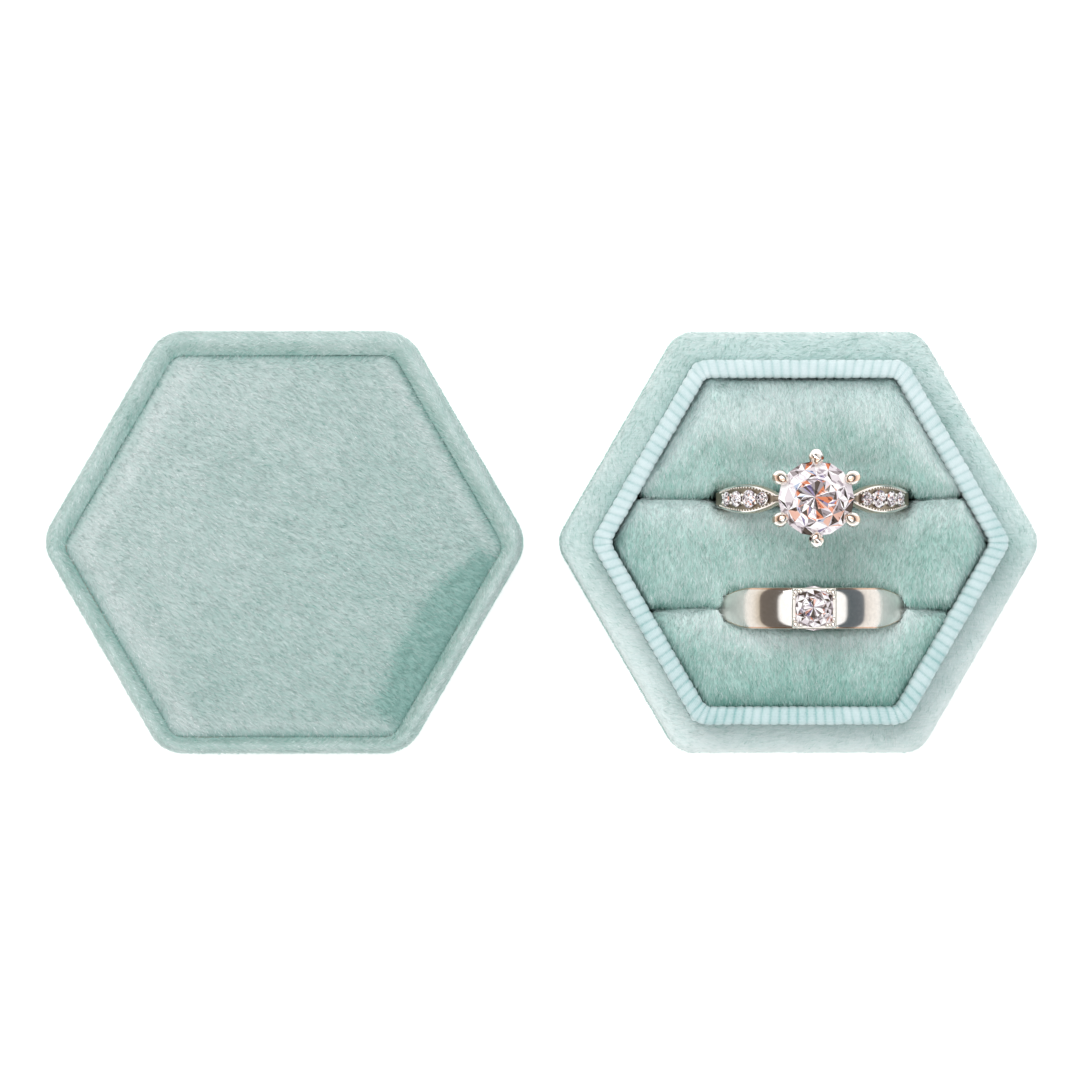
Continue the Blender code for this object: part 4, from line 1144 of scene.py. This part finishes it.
def faceted_stone(name, centre, up, diameter, tone_seed, tones):
    """A round brilliant with its facets in painted reflection tones, broken up as such a stone's
    reflections are.

    tones has the weights of the facet materials for the middle, the inner table, the outer
    table and the crown. A small stone's facets are left whole.
    """
    chance = random.Random(tone_seed)
    fine = tones is not SMALL_REFLECTION_WEIGHTS
    half = diameter / 2
    crown, girdle, pavilion = CUT_CROWN * diameter, CUT_GIRDLE * diameter, CUT_PAVILION * diameter
    table = CUT_TABLE * half
    points, faces, shades = [], [], []

    def put(radius, degrees, z):
        turn = math.radians(degrees)
        points.append((radius * math.cos(turn), radius * math.sin(turn), z))
        return len(points) - 1

    def tone(weights):
        return chance.choices(range(len(FACET_REFLECTIONS)), weights=weights)[0]

    def shatter(trio, weights):
        """A facet, or in a fine stone mostly three slivers of it round a point inside."""
        if not fine or chance.random() < 0.35:
            faces.append(trio)
            shades.append(tone(weights))
            return
        shares = [chance.uniform(0.15, 1.0) for _ in range(3)]
        spot = [sum(points[corner][axis] * share for corner, share in zip(trio, shares))
                / sum(shares) for axis in range(3)]
        points.append(tuple(spot))
        inner = len(points) - 1
        for first, second in ((0, 1), (1, 2), (2, 0)):
            faces.append((trio[first], trio[second], inner))
            shades.append(tone(weights))

    top_z = pavilion + girdle + crown
    rim_z = pavilion + girdle
    corners = [put(table, 45 * k, top_z) for k in range(8)]
    stars = [put(0.80 * half, 45 * k + 22.5, rim_z + 0.50 * crown) for k in range(8)]
    rims = [put(half, 22.5 * k, rim_z) for k in range(16)]
    lows = [put(half, 22.5 * k, pavilion) for k in range(16)]
    tip = put(0.0, 0.0, 0.0)
    rings = [[corners[k // 2] if k % 2 == 0 else put(table * 0.96, 22.5 * k, top_z)
              for k in range(16)]]
    for share, spread in (TABLE_ROWS if fine else ((0.5, 0.1),)):
        rings.append([put(table * (share + spread * chance.uniform(-1, 1)),
                          22.5 * k + chance.uniform(-6, 6),
                          top_z - abs(chance.gauss(0.0, 0.010)) * half) for k in range(16)])
    middle = put(0.06 * half, chance.uniform(0, 360), top_z)
    for row, (outer, inner) in enumerate(zip(rings, rings[1:])):
        weights = tones[2 - row]
        for k in range(16):
            n = (k + 1) % 16
            shatter((outer[k], outer[n], inner[k]), weights)
            shatter((outer[n], inner[n], inner[k]), weights)
    for k in range(16):
        first, second = points[rings[-1][k]], points[rings[-1][(k + 1) % 16]]
        share = chance.uniform(0.35, 0.65)
        points.append(tuple(a + (b - a) * share for a, b in zip(first, second)))
        between = len(points) - 1
        faces += [(rings[-1][k], between, middle), (between, rings[-1][(k + 1) % 16], middle)]
        shades += [tone(tones[0]), tone(tones[0])]
    for k in range(8):
        before = (k - 1) % 8
        rim = rims[2 * k]
        inner = put(0.84 * half, 45 * k + chance.uniform(-4, 4), rim_z + 0.40 * crown)
        for trio in ((corners[k], stars[before], inner), (stars[before], rim, inner),
                     (rim, stars[k], inner), (stars[k], corners[k], inner)):
            shatter(trio, tones[3])
        half_way = rings[0][2 * k + 1]
        shatter((corners[k], half_way, stars[k]), tones[3])
        shatter((half_way, corners[(k + 1) % 8], stars[k]), tones[3])
        for first, second in ((rims[2 * k], rims[2 * k + 1]),
                              (rims[2 * k + 1], rims[(2 * k + 2) % 16])):
            shatter((stars[k], first, second), tones[3])
    for k in range(16):
        n = (k + 1) % 16
        faces += [(rims[k], lows[k], lows[n], rims[n]), (lows[k], tip, lows[n])]
        shades += [1, tone(tones[3])]
    turn = Vector((0, 0, 1)).rotation_difference(Vector(up)).to_matrix()
    vertices = [Vector(centre) + turn @ Vector(p) for p in points]
    stone = new_object(name, vertices, faces, FACET_REFLECTIONS, shades, smooth=False)
    return orient(stone)


def rod(path, radii, sides):
    """Vertices and faces of a round rod along a path with flat ends."""
    count = len(path)
    vertices, faces = [], []
    for k, point in enumerate(path):
        before = path[max(k - 1, 0)]
        after = path[min(k + 1, count - 1)]
        along = (Vector(after) - Vector(before)).normalized()
        helper = Vector((0, 1, 0)) if abs(along.y) < 0.8 else Vector((1, 0, 0))
        across = along.cross(helper).normalized()
        other = along.cross(across)
        for s in range(sides):
            turn = 2 * math.pi * s / sides
            spoke = across * math.cos(turn) + other * math.sin(turn)
            vertices.append(Vector(point) + spoke * radii[k])
    for k in range(count - 1):
        for s in range(sides):
            n = (s + 1) % sides
            faces.append((k * sides + s, k * sides + n, (k + 1) * sides + n, (k + 1) * sides + s))
    faces.append(tuple(range(sides)))
    faces.append(tuple(range((count - 1) * sides, count * sides)))
    return vertices, faces


def bead(centre, radius, up=(0.0, 0.0, 1.0), squash=1.0):
    """Vertices and faces of a small ball, flattened along up."""
    work = bmesh.new()
    bmesh.ops.create_uvsphere(work, u_segments=12, v_segments=8, radius=radius)
    turn = Vector((0, 0, 1)).rotation_difference(Vector(up)).to_matrix()
    vertices = [Vector(centre) + turn @ Vector((v.co.x, v.co.y, v.co.z * squash))
                for v in work.verts]
    faces = [tuple(v.index for v in f.verts) for f in work.faces]
    work.free()
    return vertices, faces


def gather(parts):
    """Several vertex and face lists as one, with each part's shade."""
    vertices, faces, shades = [], [], []
    for (points, quads), shade in parts:
        start = len(vertices)
        vertices += points
        faces += [tuple(i + start for i in f) for f in quads]
        shades += [shade] * len(quads)
    return vertices, faces, shades


def leaf_half(angle):
    """Half width of the solitaire's leaf shoulder at an angle from the top."""
    away = abs(angle)
    if away < 24:
        return 0.50 * MM
    if away < 46:
        return (0.50 + 1.05 * math.sin(math.radians(90 * (away - 24) / 22)) ** 0.9) * MM
    if away < 82:
        return (1.0 + 0.55 * 0.5 * (1 + math.cos(math.pi * (away - 46) / 36))) * MM
    return 1.0 * MM


def solitaire():
    """The solitaire: leaf shoulders with small stones, six claws and the centre stone."""
    centre = SOLITAIRE_MID
    inner = FINGER_RADIUS
    outer = RING_HALF - 0.06 * MM
    rail = 0.30 * MM

    def section(angle):
        half = leaf_half(angle)
        e = 0.26 * MM
        away = abs(angle)
        well = 0.34 * MM * smoothstep((away - 25) / 5) * smoothstep((84 - away) / 4)
        wide = min(rail, half * 0.5)
        return [(inner + e, -half), (outer - e, -half), (outer - 0.07 * MM, -half + 0.07 * MM),
                (outer, -half + 0.5 * wide), (outer - 0.05 * MM, -half + 0.85 * wide),
                (outer - well, -half + wide + 0.06 * MM), (outer - well, 0.0),
                (outer - well, half - wide - 0.06 * MM), (outer - 0.05 * MM, half - 0.85 * wide),
                (outer, half - 0.5 * wide), (outer - 0.07 * MM, half - 0.07 * MM),
                (outer - e, half), (inner + e, half), (inner, half - e), (inner, -half + e)]

    # Faces 0, 1, 10 and 11 take the rose painted reflection, 5 and 6 the well's painted shade.
    shade = {0: 1, 1: 1, 5: 2, 6: 2, 10: 1, 11: 1}
    shank = ring_sweep("solitaire_band", centre, section, [SILVER, ROSE_REFLECTION, WELL_SHADE],
                       lambda k: shade.get(k, 0))
    carry(shank, "solitaire_ring", "white_gold", "solitaire_shank")
    grains = []

    def grain(side, degrees, across, radius):
        turn = math.radians(side * degrees)
        out = Vector((math.sin(turn), 0, math.cos(turn)))
        place = centre + out * (outer - 0.14 * MM) + Vector((0, across, 0))
        grains.append((bead(place, radius, out, 0.9), 0))

    for side in (-1, 1):
        for degrees in (31.0, 38.0, 48.8, 60.0, 71.0):
            room = leaf_half(degrees) - rail - 0.17 * MM
            for across in (-1, 1):
                if room > 0.15 * MM:
                    grain(side, degrees, across * min(room, 0.42 * MM), 0.20 * MM)
        for k in range(22):
            degrees = 29.0 + 2.3 * k
            for across in (-1, 1):
                grain(side, degrees, across * (leaf_half(degrees) - rail - 0.05 * MM), 0.095 * MM)
    points, quads, shades = gather(grains)
    milgrain = new_object("solitaire_grains", points, quads, [SATIN], shades)
    carry(milgrain, "solitaire_ring", "white_gold")
    for k in range(1, 9):
        low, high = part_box(f"accent_stone_{k}")
        middle = (low + high) / 2
        out = middle - centre
        out.y = 0
        out.normalize()
        size = high.y - low.y
        stone = faceted_stone(f"small_stone_{k}", centre + out * (outer - 0.70 * size), out,
                              1.42 * size, 40 + k, SMALL_REFLECTION_WEIGHTS)
        carry(stone, "solitaire_ring", "clear_stone", f"accent_stone_{k}")
    solitaire_head(centre)


CLAW_SIDES = 16
CLAW_REFLECTION_FLANK = 0.93
# A claw from its foot to its tip: distance out, height over the girdle and radius, in mm
CLAW_PATH = ((1.60, -2.75, 0.42), (2.70, -1.75, 0.46), (3.85, -0.80, 0.54),
             (4.40, -0.10, 0.68), (4.50, 0.40, 0.78), (4.44, 0.78, 0.82), (4.22, 1.02, 0.78),
             (3.95, 1.18, 0.66), (3.70, 1.28, 0.48), (3.52, 1.33, 0.22))
HOOP_STEPS = 48
HOOP_RADIUS = 1.95 * MM


def solitaire_head(centre):
    """Claws and centre stone."""
    low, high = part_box("solitaire_stone")
    middle = (low + high) / 2
    half = (high.x - low.x) / 2
    stone = faceted_stone("centre_stone", (middle.x, middle.y, low.z), (0, 0, 1), 2 * half, 7,
                          CENTRE_REFLECTION_WEIGHTS)
    carry(stone, "solitaire_ring", "clear_stone", "solitaire_stone")
    girdle = low.z + CUT_PAVILION * 2 * half
    claws = []
    for k in range(6):
        turn = math.radians(30 + 60 * k)
        out = Vector((math.cos(turn), math.sin(turn), 0))
        path, radii = [], []
        for r, z, radius in CLAW_PATH:
            path.append(Vector((middle.x, middle.y, girdle + z * MM)) + out * r * MM)
            radii.append(radius * MM)
        claws.append(rod(path, radii, CLAW_SIDES))
    hoop = []
    for k in range(HOOP_STEPS + 1):
        turn = 2 * math.pi * k / HOOP_STEPS
        hoop.append(Vector((middle.x + HOOP_RADIUS * math.cos(turn),
                            middle.y + HOOP_RADIUS * math.sin(turn), low.z + 0.15 * MM)))
    hoop_rod = rod(hoop, [0.38 * MM] * len(hoop), 10)
    points, quads, shades = gather([(piece, 0) for piece in [*claws, hoop_rod]])
    claw_faces = len(claws[0][1])
    # Claw sides take the rose painted reflection.
    for k in range(len(claws) * claw_faces):
        spot = k % claw_faces
        lateral = abs(math.cos(2 * math.pi * (spot % CLAW_SIDES + 0.5) / CLAW_SIDES))
        if spot < claw_faces - 2 and lateral > CLAW_REFLECTION_FLANK:
            shades[k] = 1
    head = new_object("solitaire_claws", points, quads, [SILVER, ROSE_REFLECTION], shades, sharp=50)
    carry(head, "solitaire_ring", "white_gold", "solitaire_head")


BAND_DOME = 0.26 * MM
BAND_STONE_GROW = 1.08
# Angles from the band's top between which its polish turns satin
SATIN_START = 37.0
SATIN_FADE = 14.0
SETTING_RISE = 0.42 * MM
SETTING_HALF = 2.36 * MM
CORNERS = ((1, 1), (-1, 1), (-1, -1), (1, -1))


def band():
    """The band with its square setting and stone."""
    low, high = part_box("band_stone")
    stone_mid = (low + high) / 2
    centre = Vector((stone_mid.x, BAND_MID.y, BAND_LOW.z + RING_HALF))
    inner = FINGER_RADIUS
    outer = RING_HALF
    shares = (-0.97, -0.90, -0.78, -0.60, -0.35, 0.0, 0.35, 0.60, 0.78, 0.90, 0.97)

    def section(angle):
        half = band_half(angle)
        e = 0.30 * MM
        face = [(outer - BAND_DOME * abs(u) ** 4, u * half) for u in shares]
        return ([(inner + e, -half), (outer - 0.62 * MM, -half), (outer - 0.42 * MM, -0.995 * half)]
                + face + [(outer - 0.42 * MM, 0.995 * half), (outer - 0.62 * MM, half),
                          (inner + e, half), (inner, half - e), (inner, -half + e)])

    # The edge faces take the rose painted reflection.
    ring = ring_sweep("band_ring_shank", centre, section, [WORN, ROSE_REFLECTION],
                      lambda k: 1 if k in (1, 2, 3, 12, 13, 14) else 0)
    angles = [math.degrees(math.atan2(abs(v.co.x - centre.x), v.co.z - centre.z))
              for v in ring.data.vertices]
    store_numbers(ring, "satin", [smoothstep((angle - SATIN_START) / SATIN_FADE)
                                  for angle in angles])
    carry(ring, "band_ring", "white_gold", "band_shank")
    half = band_half(0)
    top = centre.z + RING_HALF + SETTING_RISE
    parts = []
    for sx, sy in CORNERS:
        for dx, dy, radius in ((0.0, 0.0, 0.40), (-0.56, 0.10, 0.27), (0.14, -0.54, 0.27)):
            place = Vector((stone_mid.x + sx * (1.98 + dx) * MM,
                            stone_mid.y + sy * (1.70 + dy) * MM, top + 0.04 * MM))
            parts.append((bead(place, radius * MM), 0))
    rows = []
    for z, grow in ((-1.6, 1.0), (-0.12, 1.0), (0.0, 0.965), (0.0, 0.84), (-0.35, 0.78)):
        rows.append([Vector((stone_mid.x + sx * SETTING_HALF * grow,
                             stone_mid.y + sy * (half - 0.02 * MM) * grow, top + z * MM))
                     for sx, sy in CORNERS])
    points = [p for row in rows for p in row]
    quads = grid_faces(2, 4, False, True) + [(0, 1, 2, 3)]
    parts.append(((points, quads), 0))
    # The upper belt takes the rose painted reflection, the pit and its floor the painted shadow.
    for start, look in ((4, 1), (8, 0), (12, 2)):
        belt = [(start + k, start + (k + 1) % 4, start + 4 + (k + 1) % 4, start + 4 + k)
                for k in range(4)]
        if look == 2:
            belt.append((16, 17, 18, 19))
        parts.append(((points, belt), look))
    points, quads, shades = gather(parts)
    setting = new_object("band_setting", points, quads, [SILVER, ROSE_REFLECTION, PIT_SHADOW], shades)
    work = bmesh.new()
    work.from_mesh(setting.data)
    bmesh.ops.remove_doubles(work, verts=work.verts, dist=0.002 * MM)
    work.to_mesh(setting.data)
    work.free()
    setting.data.set_sharp_from_angle(angle=math.radians(30))
    setting.data.validate()
    carry(orient(setting), "band_ring", "white_gold")
    size = BAND_STONE_GROW * (high.x - low.x)
    stone = faceted_stone("band_centre_stone", (stone_mid.x, stone_mid.y, top - 0.50 * size),
                          (0, 0, 1), size, 23, BAND_REFLECTION_WEIGHTS)
    carry(stone, "band_ring", "clear_stone", "band_stone")


# ---------------------------------------------------------------- carried-over nodes


def dress_cad_nodes():
    """Materials of the boards, felt and lining that stay as the frame has them."""
    felt = velvet_material("felt", srgb(132, 166, 160), srgb(158, 190, 185), srgb(178, 206, 202),
                           0.4)
    looks = {"board": BOARD, "lining": LINING, "felt": felt}
    kinds = {entry["node"]: entry["material_slot"] for entry in frame["record"]["subparts"]}
    for name, node in frame["nodes"].items():
        look = looks.get(kinds[name])
        if look is None or node.hide_render:
            continue
        node.data.materials.clear()
        node.data.materials.append(look)


# ---------------------------------------------------------------- stage, light and camera


# Height of the direction and its light, on the left and on the right
WORLD_RAMPS = (
    ((0.0, (0.98, 0.96, 0.93)), (0.22, (0.92, 0.88, 0.82)), (0.39, (0.66, 0.58, 0.48)),
     (0.42, (0.17, 0.145, 0.125)), (0.73, (0.15, 0.13, 0.115)),
     (0.77, (1.15, 1.15, 1.15)), (1.0, (1.2, 1.2, 1.2))),
    ((0.0, (1.02, 1.00, 0.97)), (0.22, (0.98, 0.95, 0.91)), (0.40, (0.80, 0.76, 0.72)),
     (0.44, (0.16, 0.18, 0.20)), (0.73, (0.11, 0.135, 0.15)),
     (0.77, (1.15, 1.15, 1.15)), (1.0, (1.2, 1.2, 1.2))),
)


def stage():
    """Pale floor, soft studio lights and an even world."""
    n = Nodes("pale floor")
    floor_material = n.finish(Base_Color=srgb(240, 240, 240), Roughness=0.9,
                              Specular_IOR_Level=0.1, Emission_Color=srgb(255, 255, 255),
                              Emission_Strength=0.50)
    work = bmesh.new()
    bmesh.ops.create_circle(work, cap_ends=True, segments=64, radius=4.0)
    mesh = bpy.data.meshes.new("floor")
    work.to_mesh(mesh)
    work.free()
    mesh.materials.append(floor_material)
    floor = bpy.data.objects.new("floor", mesh)
    floor.location = (0.0, 0.0, -0.00005)
    bpy.context.scene.collection.objects.link(floor)
    bpy.context.scene.view_settings.view_transform = "Standard"
    studio_world()
    area_light("key", (-0.12, 0.20, 0.56), 0.36, 1.9)
    area_light("fill", (0.12, -0.40, 0.60), 0.40, 0.6)


def studio_world():
    """An even studio: a broad pale ceiling, darker upper walls and pale lower walls."""
    world = bpy.data.worlds.new("studio")
    bpy.context.scene.world = world
    world.use_nodes = True
    tree = world.node_tree
    coords = tree.nodes.new("ShaderNodeTexCoord")
    parts = tree.nodes.new("ShaderNodeSeparateXYZ")
    tree.links.new(coords.outputs["Generated"], parts.inputs["Vector"])
    ramps = []
    for stops in WORLD_RAMPS:
        ramp = tree.nodes.new("ShaderNodeValToRGB")
        set_ramp(ramp, stops)
        tree.links.new(parts.outputs["Z"], ramp.inputs["Fac"])
        ramps.append(ramp)
    side = tree.nodes.new("ShaderNodeMapRange")
    side.inputs["From Min"].default_value = -0.25
    side.inputs["From Max"].default_value = 0.25
    tree.links.new(parts.outputs["X"], side.inputs["Value"])
    mix = tree.nodes.new("ShaderNodeMix")
    mix.data_type = "RGBA"
    tree.links.new(side.outputs["Result"], mix.inputs["Factor"])
    tree.links.new(ramps[0].outputs["Color"], mix.inputs["A"])
    tree.links.new(ramps[1].outputs["Color"], mix.inputs["B"])
    tree.links.new(mix.outputs["Result"], tree.nodes["Background"].inputs["Color"])
    tree.nodes["Background"].inputs["Strength"].default_value = 1.0


LIGHT_TARGET = Vector((-0.028, 0.0, 0.02))


def area_light(name, place, size, power):
    """A square soft light aimed at the box."""
    lamp = bpy.data.lights.new(name, "AREA")
    lamp.size = size
    lamp.energy = power
    thing = bpy.data.objects.new(name, lamp)
    thing.location = place
    aim = LIGHT_TARGET - Vector(place)
    thing.rotation_euler = aim.to_track_quat("-Z", "Y").to_euler()
    bpy.context.scene.collection.objects.link(thing)


VIEW_SPAN = 115.4 * MM
VIEW_CENTRE = Vector((-27.75 * MM, 0.24 * MM, 22.0 * MM))


def camera():
    """A long lens straight above, with the box and lid side by side."""
    data = bpy.data.cameras.new("camera")
    data.sensor_width = 36.0
    data.lens = 300.0
    distance = VIEW_SPAN / data.sensor_width * data.lens
    data.clip_start = 0.01
    data.clip_end = 20.0
    thing = bpy.data.objects.new("camera", data)
    thing.location = VIEW_CENTRE + Vector((0.0, 0.0, distance))
    bpy.context.scene.collection.objects.link(thing)
    bpy.context.scene.camera = thing


camera()
stage()
COVER = lid_cover()
PANEL = lid_panel()
lid_nap(COVER, PANEL)
base_nap(base_cover())
collar_ribbon()
cushion()
solitaire()
band()
dress_cad_nodes()
